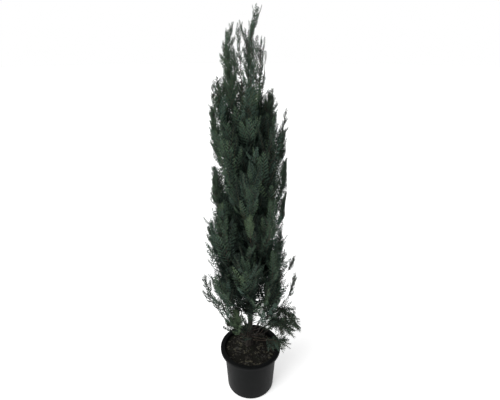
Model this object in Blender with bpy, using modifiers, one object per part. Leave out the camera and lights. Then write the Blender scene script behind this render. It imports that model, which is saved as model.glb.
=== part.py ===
"""A columnar Lawson cypress, pot grown: a nursery pot, its compost, the trunk, the boughs and the foliage.

Units are metres and +Z is up. The origin is the middle of the pot's flat underside, and -Y is the front.
Azimuths are degrees round +Z from +X, which is the plant's right as it is seen from the front.
"""

import math
import random
from dataclasses import dataclass

import bmesh
import bpy
from mathutils import Matrix, Vector, noise
from mathutils.bvhtree import BVHTree

UP = Vector((0.0, 0.0, 1.0))
RUNNING_GAP = 0.0003
SEED = 3
WELD = 1e-6

# The pot: a tapered plastic container whose rim turns out and down into a lip.
POT_HEIGHT = 0.225
RIM_RADIUS = 0.140
NECK_RADIUS = 0.1222
BASE_RADIUS = 0.1098
POT_WALL = 0.002
LIP_DEPTH = 0.013
RIM_EDGE = 0.003
BASE_CORNER = 0.010
POT_SIDES = 30
DRAIN_HOLES = 6
DRAIN_RADIUS = 0.007
DRAIN_CIRCLE = 0.080
DRAIN_SIDES = 6

# The compost fills the pot to a little under the rim. It is uneven on top, with a flat patch under the trunk.
COMPOST_EDGE_HEIGHT = 0.205
COMPOST_FOOT_HEIGHT = 0.211
COMPOST_RELIEF = 0.007
COMPOST_GRAIN = 28.0
FOOT_PATCH = 0.048
WALL_CLEARANCE = 0.0005

# The trunk: one leader from the compost to its tip, flared at the foot, swaying a little from side to side.
TRUNK_FOOT = COMPOST_FOOT_HEIGHT + RUNNING_GAP
TRUNK_TIP = 1.475
TRUNK_RADIUS = 0.0125
TRUNK_TIP_RADIUS = 0.0018
FLARE_RADIUS = 0.0105
FLARE_HEIGHT = 0.016
TRUNK_OFFSET = -0.005
TRUNK_SWAY = 0.010
TRUNK_LEAN = 0.022
TRUNK_STEPS = 14
RINGS_TO_FOOT = 1.6
SWAY_TURN = 1.1

# The crown's reach at a height: (height, radius, sideways shift of its middle).
CROWN = (
    (0.24, 0.120, 0.000),
    (0.42, 0.165, 0.005),
    (0.58, 0.188, -0.006),
    (0.68, 0.176, -0.002),
    (0.78, 0.163, -0.026),
    (0.95, 0.152, -0.020),
    (1.05, 0.138, -0.002),
    (1.22, 0.138, -0.008),
    (1.30, 0.130, -0.014),
    (1.36, 0.110, -0.032),
    (1.45, 0.088, -0.030),
    (1.58, 0.065, -0.022),
    (1.66, 0.045, 0.005),
)
CROWN_EASE = 0.010
FOLIAGE_FLOOR = 0.234

# Boughs are round limbs. Stems and twigs have three sides.
BOUGH_STEPS = 5
STEM_STEPS = 4
STEM_BEND = 0.65
STEM_TIP_RADIUS = 0.0011
BOUGH_OUT = 1.6
BOUGH_UP = 0.75
BOUGH_TAPER = 0.55

# A spray is a flat blade with forward-pointing teeth on a short twig. Its sizes are shares of its length, and
# its teeth are shares of a tooth: where the valley and the tip of each stand, and how far apart the sides are.
SPRAY_WIDTH = 0.50
SPRAY_TEETH = 2
SPRAY_THICKNESS = 0.0018
SPRAY_ROOT = 0.0016
VALLEY_DEPTH = 0.50
VALLEY_PLACE = 0.10
TOOTH_PLACE = 0.95
SIDE_STEP = 0.20
LAST_TOOTH = 0.70
FULLNESS_SCALE = 1.89
FULLNESS_TIP = 0.7
FULLNESS_FOOT = 0.4
FULLNESS_START = 0.08
TWIG_SHARE = 0.18
TWIG_RADIUS = 0.0023
TWIG_TAPER = 0.6
TWIG_SINK = 0.0015
SPRAY_START = 0.07
SIZES_TRIED = (1.0, 0.85, 0.7, 0.58, 0.48)
TILTS_TRIED = (1.0, 0.6, 0.2, -0.3)
UPRIGHT_COST = 0.3
GOLDEN_SHARE = 0.618034
FIRST_SPRAY = 0.12
APEX_TILT = 6.0
UPPER_TILT = 0.55
SPRAY_ROLL = 40.0
SPRAY_TAPER = 0.25

# A mass keeps to the space nearer to its own middle than to any other's, with heights counted for less.
HEIGHT_WEIGHT = 0.42
SPACE_GAP = 0.0006
LIMB_CLEARANCE = 0.0012
MASS_MIDDLE = 0.60

# A dense mass has a spindle-shaped core: half sizes across, outward and along its stem, and the shares tried.
CORE_SIZE = (0.064, 0.054, 0.140)
CORE_SHARES = (1.0, 0.88, 0.76, 0.64, 0.52, 0.40)
CORE_SIDES = 6
CORE_RINGS = 5

FINISHES = {
    "pot": ((0.012, 0.012, 0.013, 1.0), 0.45),
    "compost": ((0.035, 0.024, 0.016, 1.0), 0.95),
    "bark": ((0.085, 0.055, 0.038, 1.0), 0.85),
    "foliage": ((0.030, 0.055, 0.036, 1.0), 0.60),
}


@dataclass
class Mass:
    """One mass of foliage on a bough from the trunk, or on a stem from the trunk where bough is False."""

    name: str
    azimuth: float
    start: float
    reach: float
    height: float
    stem: float = 0.170
    lean: float = 8.0
    sprays: int = 5
    spray: float = 0.205
    spread: float = 110.0
    opening: float = 40.0
    radius: float = 0.0034
    bough: bool = True
    dense: bool = False
    free: bool = False


# The full tiers of the crown: height of the boughs' tips, azimuth of the first bough and how many.
TIERS = (
    (0.375, 215.0, 4),
    (0.525, 172.0, 4),
    (0.680, 218.0, 4),
    (0.835, 175.0, 4),
    (0.985, 220.0, 4),
)
BOUGHLESS_TIER = 5
TIER_RISE = 0.105
TIER_REACH = 0.46
TIER_MIDDLE = 0.10
BOUGH_RADIUS = 0.0036
TIER_TAPER = 0.0003
SIDES = ("right", "back_right", "back", "back_left", "left", "front_left", "front", "front_right")

# The masses that stand alone: the low ones, those that stand out of the crown's side, and the leaders.
SINGLES = (
    Mass("low_left", 186.0, 0.262, 0.118, 0.440, stem=0.11, lean=10.0, sprays=5, spray=0.120, spread=150.0,
         radius=0.0042, free=True),
    Mass("low_right", 354.0, 0.250, 0.092, 0.315, stem=0.10, lean=24.0, sprays=6, spray=0.150, spread=150.0,
         opening=62.0, radius=0.0042, free=True),
    Mass("low_front", 262.0, 0.256, 0.056, 0.290, stem=0.09, lean=6.0, sprays=4, spray=0.095, opening=30.0,
         free=True),
    Mass("low_back", 92.0, 0.262, 0.080, 0.320, stem=0.11, lean=18.0, sprays=4, spray=0.130),
    Mass("rim_right", 346.0, 0.240, 0.080, 0.250, stem=0.07, lean=80.0, sprays=3, spray=0.060, spread=60.0,
         radius=0.0022, bough=False, free=True),
    Mass("shoulder_left", 186.0, 1.050, 0.074, 1.150, stem=0.16, lean=8.0, spray=0.180, radius=0.0026,
         bough=False, dense=True),
    Mass("shoulder_right", 350.0, 1.075, 0.056, 1.170, stem=0.15, lean=3.0, spray=0.180, radius=0.0026,
         bough=False, dense=True),
    Mass("shoulder_back", 88.0, 1.080, 0.060, 1.160, stem=0.15, lean=4.0, spray=0.165, radius=0.0026,
         bough=False, dense=True),
    Mass("shoulder_front", 268.0, 1.090, 0.050, 1.160, stem=0.15, lean=4.0, spray=0.165, radius=0.0024,
         bough=False, dense=True),
    Mass("leader_left", 184.0, 1.180, 0.054, 1.290, stem=0.24, lean=2.0, sprays=6, spray=0.125,
         radius=0.0026, bough=False),
    Mass("leader_mid", 205.0, 1.260, 0.024, 1.340, stem=0.19, lean=2.0, sprays=4, spray=0.100,
         radius=0.0022, bough=False),
    Mass("leader_right", 340.0, 1.240, 0.026, 1.320, stem=0.16, lean=1.0, sprays=4, spray=0.110,
         radius=0.0022, bough=False),
    Mass("leader_back", 95.0, 1.260, 0.030, 1.340, stem=0.14, lean=2.0, spray=0.110, radius=0.0022,
         bough=False),
    Mass("bare_right", 6.0, 1.190, 0.038, 1.330, stem=0.15, lean=4.0, sprays=3, spray=0.045, radius=0.0020,
         bough=False, free=True),
    Mass("leader", 0.0, TRUNK_TIP, 0.0, TRUNK_TIP, stem=0.125, lean=16.0, sprays=5, spray=0.080, spread=180.0,
         bough=False, free=True),
)


def side_name(azimuth):
    """The plain name of the side that an azimuth faces."""
    return SIDES[round(azimuth / 45.0) % len(SIDES)]


def tiers():
    """The masses of the full tiers, from the lowest up, each a set share of the way out to the crown's side."""
    for tier, (height, first, count) in enumerate(TIERS):
        for turn in range(count):
            azimuth = (first + turn * 360.0 / count) % 360.0
            radius, shift = crown_at(height + TIER_MIDDLE)
            aside = (shift - trunk_point(height).x) * math.cos(math.radians(azimuth))
            yield Mass(
                f"tier{tier + 1}_{side_name(azimuth)}", azimuth, height - TIER_RISE,
                TIER_REACH * radius + aside, height,
                radius=BOUGH_RADIUS - tier * TIER_TAPER, bough=tier + 1 < BOUGHLESS_TIER, dense=True,
            )


# ---------------------------------------------------------------- lines of growth


def out_of(azimuth):
    """The level unit vector that points out at an azimuth."""
    angle = math.radians(azimuth)
    return Vector((math.cos(angle), math.sin(angle), 0.0))


def lean_from(azimuth, degrees):
    """The unit vector that leans out from upright by an angle."""
    angle = math.radians(degrees)
    return out_of(azimuth) * math.sin(angle) + UP * math.cos(angle)


def trunk_share(height):
    return (height - TRUNK_FOOT) / (TRUNK_TIP - TRUNK_FOOT)


def trunk_point(height):
    """The middle of the trunk at a height."""
    share = trunk_share(height)
    x = TRUNK_OFFSET + TRUNK_SWAY * math.sin(math.pi * share * SWAY_TURN)
    return Vector((x, TRUNK_LEAN * (1.0 - share), height))


def trunk_radius(height):
    """The trunk's radius at a height: a straight taper and a flare at the foot."""
    share = trunk_share(height)
    flare = FLARE_RADIUS * math.exp(-(height - TRUNK_FOOT) / FLARE_HEIGHT)
    return TRUNK_TIP_RADIUS + (TRUNK_RADIUS - TRUNK_TIP_RADIUS) * (1.0 - share) + flare


def trunk_line(extra=0.0):
    """(points, radii) of the trunk, with its rings closer together at the flare. Its foot is a level cut."""
    shares = [(step / TRUNK_STEPS) ** RINGS_TO_FOOT for step in range(TRUNK_STEPS + 1)]
    heights = [TRUNK_FOOT + share * (TRUNK_TIP - TRUNK_FOOT) for share in shares]
    points = [trunk_point(height) for height in heights]
    points[1].xy = points[0].xy
    return points, [trunk_radius(height) + extra for height in heights]


def bough_line(mass):
    """(points, radii) of a bough: out of the trunk's middle and then up, to the foot of its mass."""
    foot = trunk_point(mass.start)
    out = out_of(mass.azimuth)
    points, radii = [], []
    for step in range(BOUGH_STEPS + 1):
        t = step / BOUGH_STEPS
        outward = mass.reach * (BOUGH_OUT * t + (1.0 - BOUGH_OUT) * t * t)
        upward = (mass.height - mass.start) * (BOUGH_UP * t + (1.0 - BOUGH_UP) * t * t)
        points.append(foot + out * outward + UP * upward)
        radii.append(mass.radius * (1.0 - (1.0 - BOUGH_TAPER) * t))
    return points, radii


def stem_line(mass):
    """(points, radii) of the stem inside a mass, from the bough's tip, or the trunk, to near its top."""
    points, radii = bough_line(mass)
    if mass.start == TRUNK_TIP:
        points, radii = [trunk_point(TRUNK_TIP)], [TRUNK_TIP_RADIUS]
        heading = (trunk_point(TRUNK_TIP) - trunk_point(TRUNK_TIP - 0.05)).normalized()
    else:
        heading = (points[-1] - points[-2]).normalized()
    goal = lean_from(mass.azimuth, mass.lean)
    if mass.bough or mass.start == TRUNK_TIP:
        points, radii = [points[-1] + heading * RUNNING_GAP], [radii[-1]]
    first = radii[-1]
    for step in range(1, STEM_STEPS + 1):
        points.append(points[-1] + heading * (mass.stem / STEM_STEPS))
        radii.append(first + (STEM_TIP_RADIUS - first) * step / STEM_STEPS)
        heading = heading.lerp(goal, STEM_BEND).normalized()
    return points, radii


def along(points, share):
    """(point, direction) a share of the way along a line of points that are evenly spaced."""
    place = share * (len(points) - 1)
    index = min(int(place), len(points) - 2)
    a, b = points[index], points[index + 1]
    return a.lerp(b, place - index), (b - a).normalized()


def crown_at(height):
    """(radius, sideways shift) of the crown's reach at a height."""
    height = min(max(height, CROWN[0][0]), CROWN[-1][0])
    for low, high in zip(CROWN, CROWN[1:]):
        if height <= high[0]:
            t = (height - low[0]) / (high[0] - low[0])
            return tuple(a + (b - a) * t for a, b in zip(low[1:], high[1:]))
    return CROWN[-1][1:]


def in_crown(point):
    radius, shift = crown_at(point.z)
    behind = TRUNK_LEAN * max(1.0 - trunk_share(point.z), 0.0)
    return math.hypot(point.x - shift, point.y - behind) <= radius + CROWN_EASE and point.z <= CROWN[-1][0]


# ---------------------------------------------------------------- spaces


def mass_middle(mass):
    """The point that a mass's space lies round."""
    points = stem_line(mass)[0][-STEM_STEPS - 1:]
    return along(points, MASS_MIDDLE)[0]


def space_of(mass, others):
    """The flat sides of a mass's space: (unit normal, offset) of each, inside where normal . p < offset."""
    squeeze = Matrix.Diagonal((1.0, 1.0, HEIGHT_WEIGHT**2))
    own = mass_middle(mass)
    walls = []
    for other in others:
        if other is mass:
            continue
        far = mass_middle(other)
        normal = squeeze @ (far - own)
        unit = normal.normalized()
        walls.append((unit, unit.dot((own + far) / 2.0) - SPACE_GAP))
    return walls


def in_space(point, walls):
    return all(normal.dot(point) < offset for normal, offset in walls)


class Guard:
    """The limbs that foliage stays clear of, each a little thicker than it is."""

    def __init__(self):
        self.limbs = {}

    def add(self, name, points, radii):
        limb = tube("guard", points, [radius + LIMB_CLEARANCE for radius in radii])
        mesh = limb.data
        self.limbs[name] = (
            [vertex.co.copy() for vertex in mesh.vertices],
            [tuple(face.vertices) for face in mesh.polygons],
        )
        remove(limb)

    def tree_without(self, name):
        """A search tree of all the limbs but one."""
        vertices, faces = [], []
        for owner, (points, loops) in self.limbs.items():
            if owner == name:
                continue
            faces += [tuple(index + len(vertices) for index in loop) for loop in loops]
            vertices += points
        return BVHTree.FromPolygons(vertices, faces)


def touches(tree, mesh):
    points = [vertex.co.copy() for vertex in mesh.vertices]
    faces = [tuple(face.vertices) for face in mesh.polygons]
    return bool(tree.overlap(BVHTree.FromPolygons(points, faces)))


# ---------------------------------------------------------------- making shapes


def clear_scene():
    for obj in list(bpy.data.objects):
        bpy.data.objects.remove(obj, do_unlink=True)


def collection(name):
    made = bpy.data.collections.new(name)
    bpy.context.scene.collection.children.link(made)
    return made


def material(name):
    """The finish of a kind of surface, made the first time that it is asked for."""
    found = bpy.data.materials.get(name)
    if found:
        return found
    colour, roughness = FINISHES[name]
    made = bpy.data.materials.new(name)
    made.use_nodes = True
    shader = made.node_tree.nodes["Principled BSDF"]
    shader.inputs["Base Color"].default_value = colour
    shader.inputs["Roughness"].default_value = roughness
    shader.inputs["Metallic"].default_value = 0.0
    made.diffuse_color = colour
    return made


def remove(obj):
    data = obj.data
    bpy.data.objects.remove(obj, do_unlink=True)
    if isinstance(data, bpy.types.Curve):
        bpy.data.curves.remove(data)
    else:
        bpy.data.meshes.remove(data)


def as_mesh(obj):
    """Replaces a curve, or an object with modifiers, by its evaluated mesh, with loose caps welded."""
    bpy.context.view_layer.update()
    evaluated = obj.evaluated_get(bpy.context.evaluated_depsgraph_get())
    mesh = bpy.data.meshes.new_from_object(evaluated)
    name, world = obj.name, obj.matrix_world.copy()
    homes = list(obj.users_collection)
    remove(obj)
    shape = bmesh.new()
    shape.from_mesh(mesh)
    bmesh.ops.remove_doubles(shape, verts=shape.verts, dist=WELD)
    bmesh.ops.recalc_face_normals(shape, faces=shape.faces)
    shape.to_mesh(mesh)
    shape.free()
    made = bpy.data.objects.new(name, mesh)
    made.matrix_world = world
    for home in homes:
        home.objects.link(made)
    return made


def tube(name, points, radii, three_sided=False, home=None):
    """A tapering round limb along a line, as a mesh. A three-sided one serves for stems and twigs."""
    curve = bpy.data.curves.new(name, "CURVE")
    curve.dimensions = "3D"
    curve.use_fill_caps = True
    if three_sided:
        curve.bevel_mode = "OBJECT"
        curve.bevel_object = bpy.data.objects["twig_section"]
    else:
        curve.bevel_depth = 1.0
        curve.bevel_resolution = 1
    spline = curve.splines.new("POLY")
    spline.points.add(len(points) - 1)
    for node, place, radius in zip(spline.points, points, radii):
        node.co = (*place, 1.0)
        node.radius = radius
    made = bpy.data.objects.new(name, curve)
    (home or bpy.context.scene.collection).objects.link(made)
    return as_mesh(made)


def twig_section():
    """The triangle that stems and twigs are drawn out from. It is a guide and not a part."""
    curve = bpy.data.curves.new("twig_section", "CURVE")
    spline = curve.splines.new("POLY")
    spline.points.add(2)
    for corner, node in enumerate(spline.points):
        angle = math.radians(90.0 + 120.0 * corner)
        node.co = (math.cos(angle), math.sin(angle), 0.0, 1.0)
    spline.use_cyclic_u = True
    made = bpy.data.objects.new("twig_section", curve)
    made.hide_render = True
    made.display_type = "WIRE"
    return made


def turned(name, profile, home):
    """A shape turned about +Z from (radius, height) points that run down its outer side."""
    mesh = bpy.data.meshes.new(name)
    edges = [(index, index + 1) for index in range(len(profile) - 1)]
    mesh.from_pydata([(radius, 0.0, height) for radius, height in profile], edges, [])
    made = bpy.data.objects.new(name, mesh)
    home.objects.link(made)
    screw = made.modifiers.new("turn", "SCREW")
    screw.axis = "Z"
    screw.steps = POT_SIDES
    screw.render_steps = POT_SIDES
    screw.use_merge_vertices = True
    screw.merge_threshold = 1e-5
    return made


def smooth(obj, angle=35.0):
    obj.data.shade_smooth()
    obj.data.set_sharp_from_angle(angle=math.radians(angle))


# ---------------------------------------------------------------- pot and compost


def wall_radius(height):
    """The outer radius of the pot's tapered wall at a height above its rounded foot."""
    share = (height - BASE_CORNER) / (POT_HEIGHT - POT_WALL - BASE_CORNER)
    return BASE_RADIUS + (NECK_RADIUS - BASE_RADIUS) * share


def corner(radius, height, size, first, last, steps=2):
    """The points of a rounded corner about its centre, as (radius, height), between two angles in degrees."""
    angles = [math.radians(first + (last - first) * step / steps) for step in range(steps + 1)]
    return [(radius + size * math.cos(a), height + size * math.sin(a)) for a in angles]


def make_pot(home, cutters):
    """The pot: floor, wall and down-turned lip in one skin, with a ring of drain holes through the floor."""
    inner_corner = BASE_CORNER - POT_WALL
    flange = POT_HEIGHT - POT_WALL
    profile = [(0.0, POT_WALL)]
    profile += corner(BASE_RADIUS - BASE_CORNER, BASE_CORNER, inner_corner, -90.0, 0.0)
    profile += [(wall_radius(flange) - POT_WALL, flange)]
    profile += [(wall_radius(flange) - POT_WALL + RIM_EDGE, POT_HEIGHT)]
    profile += corner(RIM_RADIUS - RIM_EDGE, POT_HEIGHT - RIM_EDGE, RIM_EDGE, 90.0, 0.0)
    profile += [(RIM_RADIUS, POT_HEIGHT - LIP_DEPTH), (RIM_RADIUS - POT_WALL, POT_HEIGHT - LIP_DEPTH)]
    profile += [(RIM_RADIUS - POT_WALL, flange - RIM_EDGE)]
    profile += [(RIM_RADIUS - POT_WALL - RIM_EDGE, flange - POT_WALL)]
    profile += [(wall_radius(flange - POT_WALL - RIM_EDGE), flange - POT_WALL - RIM_EDGE)]
    profile += corner(BASE_RADIUS - BASE_CORNER, BASE_CORNER, BASE_CORNER, 0.0, -90.0)
    profile += [(0.0, 0.0)]
    pot = as_mesh(turned("pot", profile, home))
    holes = bmesh.new()
    for turn in range(DRAIN_HOLES):
        place = out_of(turn * 360.0 / DRAIN_HOLES) * DRAIN_CIRCLE
        bmesh.ops.create_cone(
            holes, cap_ends=True, segments=DRAIN_SIDES, radius1=DRAIN_RADIUS, radius2=DRAIN_RADIUS,
            depth=6.0 * POT_WALL, matrix=Matrix.Translation(place),
        )
    mesh = bpy.data.meshes.new("drain_holes")
    holes.to_mesh(mesh)
    holes.free()
    cutter = bpy.data.objects.new("drain_holes", mesh)
    cutter.hide_render = True
    cutter.display_type = "WIRE"
    cutters.objects.link(cutter)
    cut = pot.modifiers.new("drain_holes", "BOOLEAN")
    cut.operation = "DIFFERENCE"
    cut.object = cutter
    pot.data.materials.append(material("pot"))
    smooth(pot)
    return pot


def make_compost(home):
    """The compost: a plug that fits the pot, with a lumpy top that rises to the trunk's foot."""
    floor = POT_WALL + RUNNING_GAP
    knee = BASE_CORNER + POT_WALL
    inset = POT_WALL + WALL_CLEARANCE
    edge = wall_radius(COMPOST_EDGE_HEIGHT) - inset
    rings = [edge + (FOOT_PATCH - edge) * share for share in (0.35, 0.7)]
    profile = [(0.0, COMPOST_FOOT_HEIGHT), (FOOT_PATCH, COMPOST_FOOT_HEIGHT)]
    profile += [(radius, COMPOST_FOOT_HEIGHT) for radius in reversed(rings)]
    profile += [(edge, COMPOST_EDGE_HEIGHT), (wall_radius(knee) - inset, knee)]
    profile += [(BASE_RADIUS - BASE_CORNER, floor), (0.0, floor)]
    compost = as_mesh(turned("compost", profile, home))
    for vertex in compost.data.vertices:
        radius = math.hypot(vertex.co.x, vertex.co.y)
        if vertex.co.z > COMPOST_EDGE_HEIGHT - RUNNING_GAP and radius > FOOT_PATCH + RUNNING_GAP:
            away = (radius - FOOT_PATCH) / (edge - FOOT_PATCH)
            lump = noise.noise(vertex.co * COMPOST_GRAIN) * COMPOST_RELIEF
            level = COMPOST_FOOT_HEIGHT + (COMPOST_EDGE_HEIGHT - COMPOST_FOOT_HEIGHT) * away
            vertex.co.z = level + lump
    compost.data.materials.append(material("compost"))
    smooth(compost)
    return compost


# ---------------------------------------------------------------- trunk and boughs


def make_trunk(home, cutters):
    """The trunk, and the slightly thicker copy of it that cuts the boughs' feet to fit."""
    trunk = tube("trunk", *trunk_line(), home=home)
    trunk.data.materials.append(material("bark"))
    smooth(trunk, 60.0)
    sleeve = tube("trunk_sleeve", *trunk_line(RUNNING_GAP), home=cutters)
    sleeve.hide_render = True
    sleeve.display_type = "WIRE"
    return sleeve


def cut_to_trunk(obj, sleeve):
    cut = obj.modifiers.new("trunk_seat", "BOOLEAN")
    cut.operation = "DIFFERENCE"
    cut.object = sleeve


def make_bough(mass, sleeve, home):
    bough = tube(f"bough_{mass.name}", *bough_line(mass), home=home)
    cut_to_trunk(bough, sleeve)
    bough.data.materials.append(material("bark"))
    smooth(bough, 60.0)


# ---------------------------------------------------------------- foliage


def fullness(t):
    """A spray's half width along it, as a share of its widest: full near the foot, drawn out to a point."""
    return FULLNESS_SCALE * (1.0 - t) ** FULLNESS_TIP * (t + FULLNESS_START) ** FULLNESS_FOOT


def spray_outline(length):
    """The outline of a toothed spray: across and along, from one side of its root round to the other."""
    half = SPRAY_WIDTH * length / 2.0
    body = 1.0 - SPRAY_START
    sides = []
    for side, offset in ((1.0, 0.0), (-1.0, SIDE_STEP)):
        edge = [(side * SPRAY_ROOT, SPRAY_START * length)]
        for tooth in range(SPRAY_TEETH):
            valley = (tooth + VALLEY_PLACE + offset) / (SPRAY_TEETH + LAST_TOOTH)
            tip = (tooth + TOOTH_PLACE + offset) / (SPRAY_TEETH + LAST_TOOTH)
            for share, depth in ((valley, VALLEY_DEPTH), (tip, 1.0)):
                edge.append((side * half * depth * fullness(share), (SPRAY_START + body * share) * length))
        sides.append(edge)
    return sides[0] + [(0.0, length)] + sides[1][::-1]


def make_spray(foot, heading, normal, length, home):
    """A toothed blade, as a mesh in place."""
    curve = bpy.data.curves.new("spray", "CURVE")
    curve.dimensions = "2D"
    curve.fill_mode = "BOTH"
    curve.extrude = SPRAY_THICKNESS / 2.0
    spline = curve.splines.new("POLY")
    outline = spray_outline(length)
    spline.points.add(len(outline) - 1)
    for node, (across, up) in zip(spline.points, outline):
        node.co = (across, up, 0.0, 1.0)
    spline.use_cyclic_u = True
    made = bpy.data.objects.new("spray", curve)
    home.objects.link(made)
    across = heading.cross(normal)
    turn = Matrix((across, heading, normal)).transposed().to_4x4()
    made = as_mesh(made)
    made.data.transform(Matrix.Translation(foot) @ turn)
    return made


def spray_places(mass, seed):
    """Where each spray of a mass may grow, by a seeded rule along its stem: (length, [(foot, heading, normal)]).

    The places of one spray have the same foot, and each leans out less than the one before it.
    """
    rule = random.Random(seed)
    points = stem_line(mass)[0][-STEM_STEPS - 1:]
    out = out_of(mass.azimuth)
    for index in range(mass.sprays):
        last = index == mass.sprays - 1
        share = 1.0 if last else FIRST_SPRAY + (1.0 - FIRST_SPRAY) * index / (mass.sprays - 1)
        foot, stem_way = along(points, share)
        turn = math.radians(mass.spread * (2.0 * ((0.5 + index * GOLDEN_SHARE) % 1.0) - 1.0))
        opening = math.radians(APEX_TILT if last else mass.opening * (1.0 + (UPPER_TILT - 1.0) * share))
        outward = (out - stem_way * out.dot(stem_way)).normalized()
        away = outward * math.cos(turn) + stem_way.cross(outward) * math.sin(turn)
        roll = math.radians(rule.uniform(-SPRAY_ROLL, SPRAY_ROLL))
        length = mass.spray * (1.0 - SPRAY_TAPER * share) * rule.uniform(0.92, 1.08)
        places = []
        for tilt in [opening * tried for tried in TILTS_TRIED]:
            heading = (stem_way * math.cos(tilt) + away * math.sin(tilt)).normalized()
            normal = (away * math.cos(tilt) - stem_way * math.sin(tilt)).normalized()
            places.append((foot, heading, Matrix.Rotation(roll, 3, heading) @ normal))
        yield length, places


def allowed(mass, mesh, walls, limbs):
    """Whether a shape stays in its mass's space and in the crown, and clear of the limbs and the pot."""
    for vertex in mesh.vertices:
        if vertex.co.z < FOLIAGE_FLOOR or not in_space(vertex.co, walls):
            return False
        if not mass.free and not in_crown(vertex.co):
            return False
    return not touches(limbs, mesh)


def fitted_spray(mass, length, places, walls, limbs, home):
    """Makes the largest leaning spray that its space allows, with its twig. Returns whether it could."""
    tries = []
    for size in SIZES_TRIED:
        for tilt, place in zip(TILTS_TRIED, places):
            tries.append((size * (1.0 - UPRIGHT_COST * (1.0 - tilt)), size, place))
    for _, size, (foot, heading, normal) in sorted(tries, key=lambda found: -found[0]):
        spray = make_spray(foot, heading, normal, length * size, home)
        if allowed(mass, spray.data, walls, limbs):
            points = [foot - heading * TWIG_SINK, foot + heading * length * size * TWIG_SHARE]
            tube("twig", points, [TWIG_RADIUS, TWIG_RADIUS * TWIG_TAPER], three_sided=True, home=home)
            return True
        remove(spray)
    return False


def make_core(mass, walls, limbs, home):
    """The spindle at the heart of a dense mass, as large as its space allows."""
    points = stem_line(mass)[0][-STEM_STEPS - 1:]
    heading = along(points, MASS_MIDDLE)[1]
    out = out_of(mass.azimuth)
    outward = (out - heading * out.dot(heading)).normalized()
    turn = Matrix((outward.cross(heading), outward, heading)).transposed().to_4x4()
    place = Matrix.Translation(mass_middle(mass)) @ turn
    sizes = [(across, length) for across in CORE_SHARES for length in CORE_SHARES]
    for across, length in sorted(sizes, key=lambda size: -size[0] ** 2 * size[1]):
        shape = bmesh.new()
        bmesh.ops.create_uvsphere(shape, u_segments=CORE_SIDES, v_segments=CORE_RINGS, radius=1.0)
        size = Matrix.Diagonal((CORE_SIZE[0] * across, CORE_SIZE[1] * across, CORE_SIZE[2] * length, 1.0))
        bmesh.ops.transform(shape, matrix=place @ size, verts=shape.verts)
        mesh = bpy.data.meshes.new("core")
        shape.to_mesh(mesh)
        shape.free()
        if allowed(mass, mesh, walls, limbs):
            home.objects.link(bpy.data.objects.new("core", mesh))
            return across
        bpy.data.meshes.remove(mesh)
    return 0.0


def bodies_of(shape):
    """The groups of a mesh's faces that edges join."""
    left = set(shape.faces)
    while left:
        group, edge = [], [left.pop()]
        while edge:
            face = edge.pop()
            group.append(face)
            near = {other for side in face.edges for other in side.link_faces} & left
            left -= near
            edge += near
        yield group


def drop_scrap(obj):
    """Keeps the largest connected body of a mesh and drops what is loose from it."""
    shape = bmesh.new()
    shape.from_mesh(obj.data)
    bodies = sorted(bodies_of(shape), key=len)
    for scrap in bodies[:-1]:
        print(f"{obj.name}: a loose scrap of {len(scrap)} faces is dropped")
        bmesh.ops.delete(shape, geom=scrap, context="FACES")
    shape.to_mesh(obj.data)
    shape.free()


def join(obj, parts, sleeve):
    """Unites an object with all that a collection holds, then removes it, and cuts the foot to the trunk."""
    if parts.objects:
        union = obj.modifiers.new("join", "BOOLEAN")
        union.operation = "UNION"
        union.operand_type = "COLLECTION"
        union.collection = parts
    if sleeve:
        cut_to_trunk(obj, sleeve)
    joined = as_mesh(obj)
    for part in list(parts.objects):
        remove(part)
    drop_scrap(joined)
    return joined


def make_foliage(mass, seed, others, guard, sleeve, home, parts):
    """One mass: its stem, the twigs and sprays that its space allows, and its core if it is dense."""
    walls = space_of(mass, others)
    limbs = guard.tree_without(f"stem_{mass.name}")
    name = f"foliage_{mass.name}"
    stem = tube(name, *stem_line(mass), three_sided=True, home=home)
    grown = [fitted_spray(mass, *spray, walls, limbs, parts) for spray in spray_places(mass, seed)]
    core = make_core(mass, walls, limbs, parts) if mass.dense else 0.0
    grows_from_trunk = not mass.bough and mass.start != TRUNK_TIP
    foliage = join(stem, parts, sleeve if grows_from_trunk else None)
    foliage.name = name
    foliage.data.materials.append(material("foliage"))
    print(f"{mass.name}: {sum(grown)} of {mass.sprays} sprays, core {core}")


def main():
    clear_scene()
    home = collection("lawson_cypress")
    cutters = collection("cutters")
    parts = collection("parts")
    cutters.objects.link(twig_section())
    make_pot(home, cutters)
    make_compost(home)
    sleeve = make_trunk(home, cutters)
    found = list(SINGLES) + list(tiers())
    guard = Guard()
    guard.add("trunk", *trunk_line())
    for mass in found:
        guard.add(f"stem_{mass.name}", *stem_line(mass))
        if mass.bough:
            guard.add(f"bough_{mass.name}", *bough_line(mass))
            make_bough(mass, sleeve, home)
    for seed, mass in enumerate(found, SEED):
        make_foliage(mass, seed, found, guard, sleeve, home, parts)
    bpy.data.collections.remove(parts)


main()
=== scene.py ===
"""A columnar Lawson cypress in its nursery pot: the looks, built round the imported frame.

Units are metres and +Z is up. The origin is the middle of the pot's flat underside, and -Y is the front.
Azimuths are degrees round +Z from +X, which is the plant's right as it is seen from the front.
"""

import logging
import math
import random
from collections.abc import Callable
from dataclasses import dataclass, field
from enum import Enum

import bmesh
import bpy
import numpy as np
from mathutils import Matrix, Vector, noise


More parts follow.
